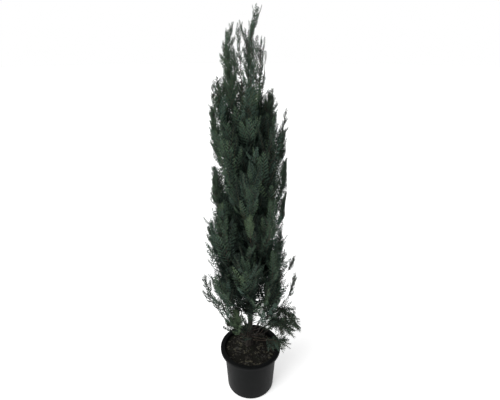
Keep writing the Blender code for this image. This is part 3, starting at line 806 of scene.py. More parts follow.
# Finer growth that the frame's solids leave out. Each piece of it stands on a thin twig of its own.
STRAYS = (
    Stray("low_right_upper", 350.0, 0.300, 0.060, 0.380, stem=0.10, lean=30.0, sprays=9, spray=0.130,
          radius=0.0024),
    Stray("low_right_front", 322.0, 0.272, 0.070, 0.330, stem=0.09, lean=34.0, sprays=6, spray=0.120,
          spread=140.0),
    Stray("low_right_droop", 2.0, 0.290, 0.078, 0.330, stem=0.09, lean=122.0, sprays=10, spray=0.100,
          opening=52.0, radius=0.0024, free=True, rise=-0.12),
    Stray("low_left_bough", 185.0, 0.260, 0.132, 0.415, stem=0.10, lean=46.0, sprays=9, spray=0.046,
          opening=50.0, radius=0.0034, free=True, laterals=1),
    Stray("low_left_outer", 184.0, 0.270, 0.165, 0.480, stem=0.09, lean=14.0, sprays=5, spray=0.080,
          radius=0.0026, free=True, laterals=2),
    Stray("low_right_rim", 338.0, 0.262, 0.070, 0.268, stem=0.07, lean=82.0, sprays=9, spray=0.085,
          spread=100.0, opening=40.0, radius=0.0020, free=True, rise=0.05),
    Stray("low_left_inner", 204.0, 0.300, 0.050, 0.380, stem=0.11, lean=14.0, sprays=7, spray=0.130,
          radius=0.0024),
    Stray("low_left_tuft", 194.0, 0.262, 0.075, 0.305, stem=0.05, lean=24.0, sprays=4, spray=0.065,
          radius=0.0018),
    Stray("low_front_left", 228.0, 0.275, 0.070, 0.345, stem=0.08, lean=2.0, sprays=8, spray=0.080,
          radius=0.0018, coat=Coat.SPRING, spread=110.0),
    Stray("low_front_tuft", 240.0, 0.280, 0.070, 0.330, stem=0.10, lean=2.0, sprays=7, spray=0.080,
          radius=0.0018, coat=Coat.SPRING, spread=110.0),
    Stray("low_core", 206.0, 0.262, 0.034, 0.285, stem=0.13, lean=2.0, sprays=14, spray=0.080,
          coat=Coat.DUSK, spread=110.0),
    Stray("low_front_mid", 276.0, 0.300, 0.040, 0.370, stem=0.10, lean=4.0, sprays=6, spray=0.130),
    Stray("tier1_stray_right", 0.0, 0.330, 0.165, 0.480, stem=0.11, lean=10.0, sprays=11, spray=0.044,
          radius=0.0018, free=True, laterals=1),
    Stray("tier2_stray_right", 356.0, 0.500, 0.155, 0.630, stem=0.06, lean=20.0, sprays=9, spray=0.040,
          radius=0.0018, free=True, laterals=1),
    Stray("tier3_stray_front", 268.0, 0.760, 0.122, 0.850, stem=0.04, lean=4.0, sprays=4, spray=0.120,
          spread=30.0, opening=14.0, radius=0.0018, coat=Coat.SPRING, laterals=1),
    Stray("tier3_stray_plume", 312.0, 0.520, 0.120, 0.620, stem=0.04, lean=4.0, sprays=2, spray=0.200,
          opening=10.0, radius=0.0018, coat=Coat.GREEN, laterals=1, spread=110.0),
    Stray("tier4_stray_plume", 308.0, 0.740, 0.110, 0.840, stem=0.04, lean=2.0, sprays=2, spray=0.190,
          opening=10.0, radius=0.0018, coat=Coat.GREEN, laterals=1, spread=110.0),
    Stray("shoulder_stray_right", 2.0, 1.110, 0.106, 1.215, stem=0.08, lean=6.0, sprays=6, spray=0.042,
          radius=0.0020, free=True, laterals=1),
    Stray("shoulder_stray_left", 182.0, 1.190, 0.118, 1.300, stem=0.09, lean=-3.0, sprays=7, spray=0.044,
          radius=0.0020, free=True, laterals=1),
    Stray("tier3_inner_left", 200.0, 0.600, 0.036, 0.690, stem=0.15, lean=4.0, sprays=8, spray=0.160,
          spread=170.0, radius=0.0024),
    Stray("tier3_inner_right", 340.0, 0.590, 0.036, 0.680, stem=0.15, lean=4.0, sprays=8, spray=0.160,
          spread=170.0, radius=0.0024),
    Stray("tier4_inner_left", 205.0, 0.760, 0.036, 0.850, stem=0.15, lean=4.0, sprays=8, spray=0.150,
          spread=170.0, radius=0.0024),
    Stray("tier4_inner_right", 345.0, 0.780, 0.036, 0.870, stem=0.15, lean=4.0, sprays=8, spray=0.150,
          spread=170.0, radius=0.0024),
    Stray("tier5_left_outer", 183.0, 0.980, 0.104, 1.090, stem=0.14, lean=4.0, sprays=14, spray=0.072,
          coat=Coat.GREEN),
    # Painted shade: a mass on the crown's right, given the darker DUSK coat.
    Stray("tier5_right_outer", 357.0, 0.860, 0.100, 0.965, stem=0.13, lean=5.0, sprays=15, spray=0.072,
          coat=Coat.DUSK),
    Stray("shoulder_left_outer", 181.0, 1.060, 0.112, 1.165, stem=0.13, lean=4.0, sprays=14, spray=0.072,
          opening=50.0, radius=0.0020, coat=Coat.GREEN),
    Stray("shoulder_left_upper", 188.0, 1.150, 0.058, 1.265, stem=0.13, lean=1.0, sprays=9, spray=0.090,
          spread=170.0, radius=0.0020, coat=Coat.GREEN),
    # Painted shade: a mass on the crown's right, given the darker DUSK coat.
    Stray("shoulder_right_low", 358.0, 0.990, 0.088, 1.090, stem=0.12, lean=4.0, sprays=15, spray=0.070,
          radius=0.0020, coat=Coat.DUSK),
    Stray("shoulder_right_upper", 350.0, 1.140, 0.030, 1.230, stem=0.10, lean=1.0, sprays=8, spray=0.080,
          spread=170.0, radius=0.0020),
    Stray("leader_left_lower", 190.0, 1.200, 0.058, 1.315, stem=0.13, lean=2.0, sprays=9, spray=0.085,
          spread=170.0, radius=0.0018, coat=Coat.GREEN, laterals=3),
    Stray("leader_left_side", 183.0, 1.360, 0.076, 1.470, stem=0.05, lean=4.0, sprays=6, spray=0.036,
          spread=170.0, radius=0.0014, free=True, coat=Coat.GREEN, laterals=1),
    Stray("leader_left_upper", 184.0, 1.310, 0.066, 1.440, stem=0.13, lean=-11.0, sprays=8, spray=0.045,
          spread=170.0, radius=0.0016, coat=Coat.GREEN, laterals=2),
    Stray("leader_mid_side", 186.0, 1.310, 0.046, 1.415, stem=0.08, lean=2.0, sprays=7, spray=0.048,
          spread=170.0, radius=0.0016, laterals=2),
    Stray("leader_tip_left", 180.0, 1.475, 0.0, 1.475, stem=0.105, lean=18.0, sprays=4, spray=0.042,
          spread=180.0, free=True, laterals=1, radius=0.0034),
    Stray("bare_right_outer", 4.0, 1.200, 0.030, 1.360, stem=0.175, lean=6.0, sprays=8, spray=0.030,
          radius=0.0042, free=True, laterals=0, coat=Coat.DUSK),
    Stray("shoulder_right_top", 352.0, 1.170, 0.060, 1.285, stem=0.06, lean=4.0, sprays=9, spray=0.066,
          spread=160.0, radius=0.0020, free=True),
    Stray("leader_core", 270.0, 1.200, 0.012, 1.290, stem=0.16, lean=1.0, sprays=9, spray=0.115,
          spread=175.0, radius=0.0020, laterals=2),
    Stray("leader_front", 290.0, 1.340, 0.014, 1.420, stem=0.13, lean=3.0, sprays=6, spray=0.072,
          spread=175.0, radius=0.0016, laterals=2),
    Stray("leader_tip", 0.0, 1.475, 0.0, 1.475, stem=0.165, lean=24.0, sprays=3, spray=0.024,
          spread=180.0, radius=0.0016, free=True, laterals=0),
    Stray("tier2_inner_left", 190.0, 0.500, 0.050, 0.600, stem=0.14, lean=6.0, sprays=8, spray=0.150,
          spread=170.0, radius=0.0024),
    Stray("tier2_inner_right", 340.0, 0.470, 0.050, 0.560, stem=0.14, lean=6.0, sprays=8, spray=0.150,
          spread=170.0, radius=0.0024),
    Stray("tier4_left_outer", 184.0, 0.810, 0.120, 0.920, stem=0.13, lean=6.0, sprays=15, spray=0.070,
          coat=Coat.GREEN),
    Stray("tier3_left_outer", 182.0, 0.600, 0.128, 0.700, stem=0.13, lean=6.0, sprays=13, spray=0.078,
          coat=Coat.GREEN),
    # Painted shade: a mass on the crown's right, given the darker DUSK coat.
    Stray("tier4_right_outer", 358.0, 0.740, 0.104, 0.840, stem=0.13, lean=5.0, sprays=15, spray=0.072,
          coat=Coat.DUSK),
    Stray("low_right_fall", 350.0, 0.430, 0.100, 0.440, stem=0.13, lean=148.0, sprays=12, spray=0.085,
          spread=160.0, opening=45.0, radius=0.0026, free=True, rise=-0.30),
    Stray("low_right_inner_fall", 340.0, 0.390, 0.080, 0.395, stem=0.10, lean=130.0, sprays=8,
          spray=0.080, spread=160.0, opening=45.0, free=True, rise=-0.15),
)


@dataclass
class Growth:
    """The rule by which the whole plant grows, as the frame's own source has it.

    The crown is a list of (height, radius, sideways shift). A plume may pass it by ease, or by upper_ease
    above the height upper, but it never passes the frame's own box, which is reach.
    """

    foot: float = 0.2113
    tip: float = 1.475
    trunk: float = 0.0125
    trunk_tip: float = 0.0018
    flare: float = 0.0105
    flare_height: float = 0.016
    offset: float = -0.005
    sway: float = 0.010
    sway_turn: float = 1.1
    lean: float = 0.022
    gap: float = 0.0003
    tip_stretch: float = 0.05
    stem_steps: int = 4
    stem_bend: float = 0.65
    stem_tip: float = 0.0011
    bough_out: float = 1.6
    bough_up: float = 0.75
    bough_taper: float = 0.55
    bough_steps: int = 5
    boughless_tier: int = 5
    tier_rise: float = 0.105
    tier_reach: float = 0.46
    tier_middle: float = 0.10
    bough_radius: float = 0.0036
    tier_taper: float = 0.0003
    first_spray: float = 0.12
    apex_tilt: float = 6.0
    upper_tilt: float = 0.55
    roll: float = 40.0
    taper: float = 0.25
    length_range: tuple[float, float] = (0.92, 1.08)
    tilts: tuple[float, ...] = (1.0, 0.6, 0.2, -0.3)
    ease: float = 0.006
    upper_ease: float = -0.006
    upper: float = 1.33
    floor: float = 0.234
    reach: tuple[Vector, Vector] = (Vector((-0.3, -0.3, 0.0)), Vector((0.3, 0.3, 2.0)))
    crown: tuple[tuple[float, float, float], ...] = (
        (0.24, 0.120, 0.000),
        (0.42, 0.165, 0.005),
        (0.58, 0.188, -0.006),
        (0.68, 0.176, -0.002),
        (0.78, 0.163, -0.026),
        (0.95, 0.152, -0.020),
        (1.05, 0.138, -0.002),
        (1.22, 0.138, -0.008),
        (1.30, 0.130, -0.014),
        (1.36, 0.110, -0.032),
        (1.45, 0.088, -0.030),
        (1.58, 0.065, -0.022),
        (1.66, 0.045, 0.005),
    )

    @staticmethod
    def out_of(azimuth: float) -> Vector:
        """The level unit vector that points out at an azimuth."""
        angle = math.radians(azimuth)
        return Vector((math.cos(angle), math.sin(angle), 0.0))

    def lean_from(self, azimuth: float, degrees: float) -> Vector:
        """The unit vector that leans out from upright by an angle."""
        angle = math.radians(degrees)
        return self.out_of(azimuth) * math.sin(angle) + UP * math.cos(angle)

    def trunk_share(self, height: float) -> float:
        """How far up the trunk a height is, from 0 to 1."""
        return (height - self.foot) / (self.tip - self.foot)

    def trunk_point(self, height: float) -> Vector:
        """The middle of the trunk at a height.

        Args:
            height: The height.

        Returns:
            The point.
        """
        share = self.trunk_share(height)
        x = self.offset + self.sway * math.sin(math.pi * share * self.sway_turn)
        return Vector((x, self.lean * (1.0 - share), height))

    def trunk_radius(self, height: float) -> float:
        """The trunk's radius at a height: a straight taper and a flare at the foot.

        Args:
            height: The height.

        Returns:
            The radius.
        """
        share = self.trunk_share(height)
        flare = self.flare * math.exp(-(height - self.foot) / self.flare_height)
        return self.trunk_tip + (self.trunk - self.trunk_tip) * (1.0 - share) + flare

    def bough_point(self, mass: Mass, t: float) -> Vector:
        """The middle of a bough a share of the way along: out of the trunk's middle and then up.

        Args:
            mass: The mass that the bough bears.
            t: The share, from 0 to 1.

        Returns:
            The point.
        """
        outward = mass.reach * (self.bough_out * t + (1.0 - self.bough_out) * t * t)
        upward = (mass.height - mass.start) * (self.bough_up * t + (1.0 - self.bough_up) * t * t)
        return self.trunk_point(mass.start) + self.out_of(mass.azimuth) * outward + UP * upward

    def bough_radius_at(self, mass: Mass, t: float) -> float:
        """A bough's radius a share of the way along."""
        return mass.radius * (1.0 - (1.0 - self.bough_taper) * t)

    def stem_line(self, mass: Mass) -> Line:
        """The stem inside a mass, from its bough's tip or the trunk to near the mass's top.

        Args:
            mass: The mass.

        Returns:
            The stem's points and its radius at each.
        """
        steps = range(self.bough_steps + 1)
        points = [self.bough_point(mass, step / self.bough_steps) for step in steps]
        radii = [self.bough_radius_at(mass, step / self.bough_steps) for step in steps]
        heading = (points[-1] - points[-2]).normalized()
        if mass.start == self.tip:
            points, radii = [self.trunk_point(self.tip)], [self.trunk_tip]
            heading = (points[0] - self.trunk_point(self.tip - self.tip_stretch)).normalized()
        goal = self.lean_from(mass.azimuth, mass.lean)
        if mass.bough or mass.start == self.tip:
            points, radii = [points[-1] + heading * self.gap], [radii[-1]]
        first = radii[-1]
        for step in range(1, self.stem_steps + 1):
            points.append(points[-1] + heading * (mass.stem / self.stem_steps))
            radii.append(first + (self.stem_tip - first) * step / self.stem_steps)
            heading = heading.lerp(goal, self.stem_bend).normalized()
        return points, radii

    @staticmethod
    def along(points: list[Vector], share: float) -> tuple[Vector, Vector]:
        """The point and direction a share of the way along a line of evenly spaced points.

        Args:
            points: The line.
            share: The share, from 0 to 1.

        Returns:
            The point and the unit direction.
        """
        place = share * (len(points) - 1)
        index = min(int(place), len(points) - 2)
        a, b = points[index], points[index + 1]
        return a.lerp(b, place - index), (b - a).normalized()

    def crown_at(self, height: float) -> tuple[float, float]:
        """The radius of the crown's reach at a height, and the sideways shift of its middle.

        Args:
            height: The height.

        Returns:
            The radius and the shift.
        """
        height = min(max(height, self.crown[0][0]), self.crown[-1][0])
        for low, high in zip(self.crown, self.crown[1:]):
            if height <= high[0]:
                t = (height - low[0]) / (high[0] - low[0])
                return tuple(a + (b - a) * t for a, b in zip(low[1:], high[1:]))
        return self.crown[-1][1:]

    def in_crown(self, point: Vector, ease: float = 0.0) -> bool:
        """Whether a point is within the crown's reach.

        Args:
            point: The point.
            ease: How far outside it may be.

        Returns:
            Whether it is.
        """
        radius, shift = self.crown_at(point.z)
        behind = self.lean * max(1.0 - self.trunk_share(point.z), 0.0)
        off = math.hypot(point.x - shift, point.y - behind)
        ease += self.upper_ease if point.z > self.upper else self.ease
        return off <= radius + ease and point.z <= self.crown[-1][0]

    def in_reach(self, point: Vector) -> bool:
        """Whether a point is inside the frame's own box."""
        low, high = self.reach
        return all(a < value < b for a, value, b in zip(low, point, high))

    def masses(self) -> list[Mass]:
        """All the masses, in the order in which their seeds run: those that stand alone, then the tiers.

        Returns:
            The masses.
        """
        found = list(SINGLES)
        for tier, (height, first, count) in enumerate(TIERS):
            for turn in range(count):
                azimuth = (first + turn * 360.0 / count) % 360.0
                radius, shift = self.crown_at(height + self.tier_middle)
                aside = (shift - self.trunk_point(height).x) * math.cos(math.radians(azimuth))
                side = SIDES[round(azimuth / 45.0) % len(SIDES)]
                found.append(Mass(
                    f"tier{tier + 1}_{side}", azimuth, height - self.tier_rise,
                    self.tier_reach * radius + aside, height,
                    radius=self.bough_radius - tier * self.tier_taper,
                    bough=tier + 1 < self.boughless_tier, dense=True,
                ))
        return found

    def sprays(self, mass: Mass, seed: int) -> list[tuple[float, list[Place]]]:
        """Where each spray of a mass may grow, by a seeded rule along its stem.

        Args:
            mass: The mass.
            seed: The seed of its own draws.

        Returns:
            Each spray's length and its places, as (foot, heading, normal), each less leaning than the last.
        """
        rule = random.Random(seed)
        points = self.stem_line(mass)[0][-self.stem_steps - 1:]
        out = self.out_of(mass.azimuth)
        found = []
        for index in range(mass.sprays):
            last = index == mass.sprays - 1
            share = 1.0 if last else self.first_spray + (1.0 - self.first_spray) * index / (mass.sprays - 1)
            foot, way = self.along(points, share)
            turn = math.radians(mass.spread * (2.0 * ((0.5 + index * GOLDEN_SHARE) % 1.0) - 1.0))
            opening = mass.opening * (1.0 + (self.upper_tilt - 1.0) * share)
            opening = math.radians(self.apex_tilt if last else opening)
            outward = (out - way * out.dot(way)).normalized()
            away = outward * math.cos(turn) + way.cross(outward) * math.sin(turn)
            roll = math.radians(rule.uniform(-self.roll, self.roll))
            length = mass.spray * (1.0 - self.taper * share) * rule.uniform(*self.length_range)
            places = []
            for tilt in [opening * tried for tried in self.tilts]:
                heading = (way * math.cos(tilt) + away * math.sin(tilt)).normalized()
                normal = (away * math.cos(tilt) - way * math.sin(tilt)).normalized()
                places.append((foot, heading, Matrix.Rotation(roll, 3, heading) @ normal))
            found.append((length, places))
        return found


# ---------------------------------------------------------------- pot and compost


@dataclass
class Pot:
    """The nursery pot: a tapered wall with its rim turned down into a lip, and a floor with drain holes."""

    height: float = 0.225
    rim: float = 0.140
    neck: float = 0.1222
    base: float = 0.1098
    wall: float = 0.002
    lip: float = 0.013
    rim_edge: float = 0.003
    foot_corner: float = 0.010
    wall_rings: tuple[float, ...] = (0.070, 0.130, 0.190)
    sides: int = 96
    corner_steps: int = 5
    holes: int = 6
    hole_radius: float = 0.007
    hole_circle: float = 0.080
    hole_sides: int = 20
    finish: PotPlastic = field(default_factory=PotPlastic)

    def wall_radius(self, height: float) -> float:
        """The outer radius of the tapered wall at a height above its rounded foot."""
        share = (height - self.foot_corner) / (self.height - self.wall - self.foot_corner)
        return self.base + (self.neck - self.base) * share

    def profile(self) -> Profile:
        """The pot's section, from the middle of its floor inside, over the rim, to the middle underneath.

        Returns:
            The section's (radius, height) points.
        """
        steps = self.corner_steps
        flange = self.height - self.wall
        lip_foot = self.height - self.lip
        middle = self.base - self.foot_corner
        inside = self.wall_radius(flange) - self.wall
        under = flange - self.wall - self.rim_edge
        points = [(self.hole_circle / 2.0, self.wall)]
        points += arc(middle, self.foot_corner, self.foot_corner - self.wall, -90.0, 0.0, steps)
        points += [(self.wall_radius(h) - self.wall, h) for h in self.wall_rings]
        points += [(inside, flange)]
        points += arc(inside + self.rim_edge, flange, self.wall, 180.0, 90.0, 2)[1:]
        points += arc(self.rim - self.rim_edge, self.height - self.rim_edge, self.rim_edge, 90.0, 0.0, steps)
        points += arc(self.rim - self.wall / 2.0, lip_foot + self.wall / 2.0, self.wall / 2.0, 0.0, -180.0, 4)
        points += [(self.rim - self.wall, flange - self.rim_edge)]
        points += [(self.rim - self.wall - self.rim_edge, flange - self.wall)]
        points += [(self.wall_radius(under), under)]
        points += [(self.wall_radius(h), h) for h in reversed(self.wall_rings)]
        points += arc(middle, self.foot_corner, self.foot_corner, 0.0, -90.0, steps)
        points += [(self.hole_circle / 2.0, 0.0)]
        return points

    def make(self) -> None:
        """Turns the pot, drills its drain holes and dresses it."""
        pot = Lathe(self.sides).turn("pot_shell", self.profile())
        for turn in range(self.holes):
            place = Growth.out_of(turn * 360.0 / self.holes) * self.hole_circle
            Bench.clear()
            bpy.ops.mesh.primitive_cylinder_add(
                vertices=self.hole_sides, radius=self.hole_radius, depth=6.0 * self.wall, location=place
            )
            drill = Bench.take("drill")
            Bench.settle(drill)
            Bench.modify(pot, "BOOLEAN", operation="DIFFERENCE", object=drill)
            bpy.data.objects.remove(drill, do_unlink=True)
        Bench.smooth(pot, degrees=40.0)
        Bench.dress(pot, self.finish.material())
        Bench.hand_over(pot, "pot", "pot")


@dataclass
class Compost:
    """The compost: a plug that fills the pot, crumbly on top, with bark chips lying on it."""

    pot: Pot
    edge_height: float = 0.205
    foot_height: float = 0.2115
    relief: float = 0.0050
    lump_scale: float = 38.0
    lump_share: float = 0.6
    lump_noise: tuple[float, float, int] = (0.9, 2.2, 3)
    crumb: float = 0.0022
    crumb_scale: float = 150.0
    crumb_slice: float = 0.3
    mound: float = 0.0040
    mound_radius: float = 0.040
    clearance: float = 0.0006
    rings: int = 34
    sides: int = 128
    chips: int = 460
    chip_seed: int = 41
    chip_length: tuple[float, float] = (0.007, 0.022)
    chip_cuts: tuple[float, ...] = (0.6, 0.8, 1.0)
    chip_width: tuple[float, float] = (0.22, 0.5)
    chip_height: tuple[float, float] = (0.10, 0.22)
    chip_tilt: tuple[float, float] = (0.22, 0.18)
    chip_wear: tuple[float, float] = (0.6, 1.0)
    chip_margin: float = 0.007
    chip_patches: float = 26.0
    chip_slots: tuple[int, ...] = (0, 1, 1, 2, 2, 0)
    bare_ring: float = 0.026
    finish: CompostFinish = field(default_factory=CompostFinish)
    chip_finishes: tuple[ChipFinish, ...] = (
        ChipFinish("chip_tan", (0.080, 0.074, 0.050), (0.040, 0.037, 0.025)),
        ChipFinish("chip_grey", (0.048, 0.046, 0.040), (0.024, 0.023, 0.020)),
        ChipFinish("chip_dark", (0.018, 0.015, 0.011), (0.008, 0.007, 0.006)),
    )

    @property
    def edge(self) -> float:
        """The radius of the compost's top."""
        return self.pot.wall_radius(self.edge_height) - self.pot.wall - self.clearance

    def level(self, x: float, y: float) -> float:
        """The height of the top of the compost at a place.

        Args:
            x: How far to the right.
            y: How far to the back.

        Returns:
            The height.
        """
        radius = math.hypot(x, y - Growth.lean)
        away = min(math.hypot(x, y) / self.edge, 1.0)
        ground = self.foot_height + (self.edge_height - self.foot_height) * away
        lumps = noise.fractal(Vector((x, y, 0.0)) * self.lump_scale, *self.lump_noise) * self.relief
        crumbs = noise.turbulence(Vector((x, y, self.crumb_slice)) * self.crumb_scale, 3, True) * self.crumb
        mound = self.mound * math.exp(-((radius / self.mound_radius) ** 2))
        return ground + lumps * self.lump_share + crumbs + mound

    def make(self) -> None:
        """Makes the compost and its chips."""
        self._make_ground()
        self._make_chips()

    def _make_ground(self) -> None:
        """Turns the plug and gives its top a crumbly relief."""
        knee = self.pot.foot_corner + self.pot.wall
        inset = self.pot.wall + self.clearance
        floor = self.pot.wall + self.clearance
        rings = [self.edge * (step + 1) / self.rings for step in range(self.rings)]
        profile = [(radius, self.foot_height) for radius in rings]
        profile += [(self.pot.wall_radius(knee) - inset, knee), (self.pot.base - self.pot.foot_corner, floor)]
        ground = Lathe(self.sides).turn("compost_ground", profile)
        inner = bmesh.new()
        inner.from_mesh(ground.data)
        top = [face for face in inner.faces if len(face.verts) > 4 and face.normal.z > 0.5]
        bmesh.ops.poke(inner, faces=top)
        inner.to_mesh(ground.data)
        inner.free()
        for vertex in ground.data.vertices:
            if vertex.co.z > self.edge_height - self.clearance:
                vertex.co.z = self.level(vertex.co.x, vertex.co.y)
        Bench.smooth(ground, degrees=60.0)
        Bench.dress(ground, self.finish.material())
        Bench.hand_over(ground, "compost", "compost")

    def _make_chips(self) -> None:
        """Scatters rough bark chips over the compost in loose patches, with none against the trunk."""
        rule = random.Random(self.chip_seed)
        heap = Heap()
        box = np.array([(x, y, z) for x in (-1, 1) for y in (-1, 1) for z in (-1, 1)], dtype=float)
        sides = np.array([
            (0, 1, 3), (0, 3, 2), (4, 6, 7), (4, 7, 5), (0, 4, 5), (0, 5, 1),
            (2, 3, 7), (2, 7, 6), (0, 2, 6), (0, 6, 4), (1, 5, 7), (1, 7, 3),
        ])
        placed = 0
        while placed < self.chips:
            angle = rule.uniform(0.0, math.tau)
            radius = (self.edge - self.chip_margin) * math.sqrt(rule.random())
            x, y = radius * math.cos(angle), radius * math.sin(angle)
            thick = noise.noise(Vector((x, y, 2.0)) * self.chip_patches) > rule.uniform(-0.5, 0.5)
            if math.hypot(x, y - Growth.lean) < self.bare_ring or not thick:
                continue
            length = rule.uniform(*self.chip_length) * rule.choice(self.chip_cuts)
            wide, high = rule.uniform(*self.chip_width), rule.uniform(*self.chip_height)
            half = Vector((length, length * wide, length * high)) / 2.0
            turn = Matrix.Rotation(rule.uniform(0.0, math.tau), 3, "Z")
            tilt = Matrix.Rotation(rule.gauss(0.0, self.chip_tilt[0]), 3, "X")
            tilt = tilt @ Matrix.Rotation(rule.gauss(0.0, self.chip_tilt[1]), 3, "Y")
            rough = np.array([[rule.uniform(*self.chip_wear) for _ in corner] for corner in box])
            shape = (box * rough * np.array(half)) @ np.array(turn @ tilt).T
            place = np.array((x, y, self.level(x, y) + half.z * 0.5))
            heap.add(shape + place, sides, rule.choice(self.chip_slots))
            placed += 1
        chips = heap.build("compost_chips")
        Bench.dress(chips, *[finish.material() for finish in self.chip_finishes])
        heap.set_slots(chips)
        Bench.hand_over(chips, "compost", "compost")


# ---------------------------------------------------------------- trunk and boughs


@dataclass
class Limb:
    """A bark-covered limb: a plain rod cut into rings, bent along its line and given its bark's relief."""

    sides: int
    first_cuts: int
    second_cuts: int
    ridge: float
    ridges: float = 3.2
    ridge_run: float = 26.0
    lobes: float = 0.0
    lobe_height: float = 0.030
    lobe_count: float = 3.0
    lobe_turn: float = 0.8
    fine_ridges: float = 2.7
    seed_step: float = 0.37
    sight: float = 0.01

    def make(self, name: str, line: Course, width: Girth) -> bpy.types.Object:
        """Makes a limb.

        Args:
            name: The piece's name.
            line: The middle of the limb, from a share of the way along it.
            width: The limb's radius, from the same share.

        Returns:
            The piece.
        """
        Bench.clear()
        bpy.ops.mesh.primitive_cylinder_add(vertices=self.sides, radius=1.0, depth=1.0)
        limb = Bench.take(name)
        for cuts in (self.first_cuts, self.second_cuts):
            self._cut(limb, cuts)
        seed = sum(map(ord, name)) * self.seed_step
        for vertex in limb.data.vertices:
            share = vertex.co.z + 0.5
            angle = math.atan2(vertex.co.y, vertex.co.x)
            vertex.co = self._placed(line, width, share, angle, seed)
        Bench.hold(limb)
        bpy.ops.object.mode_set(mode="EDIT")
        bpy.ops.mesh.select_all(action="SELECT")
        bpy.ops.mesh.normals_make_consistent(inside=False)
        bpy.ops.object.mode_set(mode="OBJECT")
        Bench.smooth(limb, degrees=50.0)
        return limb

    @staticmethod
    def _cut(limb: bpy.types.Object, cuts: int) -> None:
        """Cuts every upright edge of a rod, which adds rings to it.

        Args:
            limb: The rod.
            cuts: How many rings go between each two that it has.
        """
        Bench.hold(limb)
        shape = limb.data
        for polygon in shape.polygons:
            polygon.select = False
        bpy.ops.object.mode_set(mode="EDIT")
        bpy.ops.mesh.select_mode(type="EDGE")
        bpy.ops.mesh.select_all(action="DESELECT")
        bpy.ops.object.mode_set(mode="OBJECT")
        for edge in shape.edges:
            a, b = (shape.vertices[index].co for index in edge.vertices)
            edge.select = abs(a.z - b.z) > WELD
        bpy.ops.object.mode_set(mode="EDIT")
        bpy.ops.mesh.subdivide(number_cuts=cuts)
        bpy.ops.object.mode_set(mode="OBJECT")

    def _placed(self, line: Course, width: Girth, share: float, angle: float, seed: float) -> Vector:
        """Where a point of the rod goes on the bent limb.

        Args:
            line: The limb's middle.
            width: The limb's radius.
            share: How far along the rod the point is.
            angle: The point's angle round the rod, in radians.
            seed: What sets this limb's bark apart.

        Returns:
            The place.
        """
        middle = line(share)
        ahead, behind = min(share + self.sight, 1.0), max(share - self.sight, 0.0)
        way = (line(ahead) - line(behind)).normalized()
        across = Vector((0.0, 1.0, 0.0)).cross(way).normalized()
        beside = way.cross(across).normalized()
        run = share * self.ridge_run + seed
        grain = Vector((math.cos(angle) * self.ridges, math.sin(angle) * self.ridges, run))
        strips = abs(noise.noise(grain)) * 2.0 - 0.5 + 0.5 * noise.noise(grain * self.fine_ridges)
        lobes = self.lobes * math.exp(-(middle.z - Growth.foot) / self.lobe_height)
        swell = lobes * math.cos(self.lobe_count * angle + self.lobe_turn)
        radius = width(share) * (1.0 + self.ridge * strips + swell)
        return middle + (across * math.cos(angle) + beside * math.sin(angle)) * radius


@dataclass
class Limbs:
    """The trunk and the boughs in their bark."""

    growth: Growth
    finish: BarkFinish = field(default_factory=BarkFinish)
    ring_ease: float = 1.3

    def make(self) -> None:
        """Makes the trunk, and one piece for each bough."""
        material = self.finish.material()
        stem = Limb(sides=26, first_cuts=15, second_cuts=10, ridge=0.085, lobes=0.16)
        trunk = stem.make("trunk_bark", self._trunk_at, self._trunk_width)
        Bench.dress(trunk, material)
        Bench.hand_over(trunk, "bark", "trunk")
        branch = Limb(sides=10, first_cuts=9, second_cuts=2, ridge=0.09, ridges=1.6, ridge_run=9.0)
        for mass in self.growth.masses():
            if mass.bough:
                bough = branch.make(
                    f"bark_{mass.name}",
                    lambda share, mass=mass: self.growth.bough_point(mass, share),
                    lambda share, mass=mass: self.growth.bough_radius_at(mass, share),
                )
                Bench.dress(bough, material)
                Bench.hand_over(bough, "bark", f"bough_{mass.name}")

    def _height(self, share: float) -> float:
        """The height that a share of the trunk stands for, with its rings closer together at the foot."""
        return self.growth.foot + (self.growth.tip - self.growth.foot) * share**self.ring_ease

    def _trunk_at(self, share: float) -> Vector:
        """The middle of the trunk a share of the way along."""
        return self.growth.trunk_point(self._height(share))

    def _trunk_width(self, share: float) -> float:
        """The trunk's radius a share of the way along."""
        return self.growth.trunk_radius(self._height(share))


# ---------------------------------------------------------------- foliage


@dataclass(frozen=True)
class Pattern:
    """A flat plume: its corners as (across, along, proud), its triangles and each triangle's youth, less the
    painted shade on one side of each blade.
    """

    points: np.ndarray
    faces: np.ndarray
    age: np.ndarray


class Draft:
    """A flat plume while it is drawn: its corners, its triangles and each triangle's youth, less the painted
    shade on one side of each blade.
    """

    def __init__(self) -> None:
        """Starts empty."""
        self.points: list[Corner] = []
        self.faces: list[tuple[int, int, int]] = []
        self.age: list[float] = []

    def add(self, corners: tuple[Corner, Corner, Corner], youth: float) -> None:
        """Adds one triangle.

        Args:
            corners: Its corners.
            youth: How young it is, from about 0 to about 1, less any painted shade.
        """
        first = len(self.points)
        self.points.extend(corners)
        self.faces.append((first, first + 1, first + 2))
        self.age.append(youth)

    def pattern(self) -> Pattern:
        """The finished plume."""
        return Pattern(np.array(self.points), np.array(self.faces), np.array(self.age))


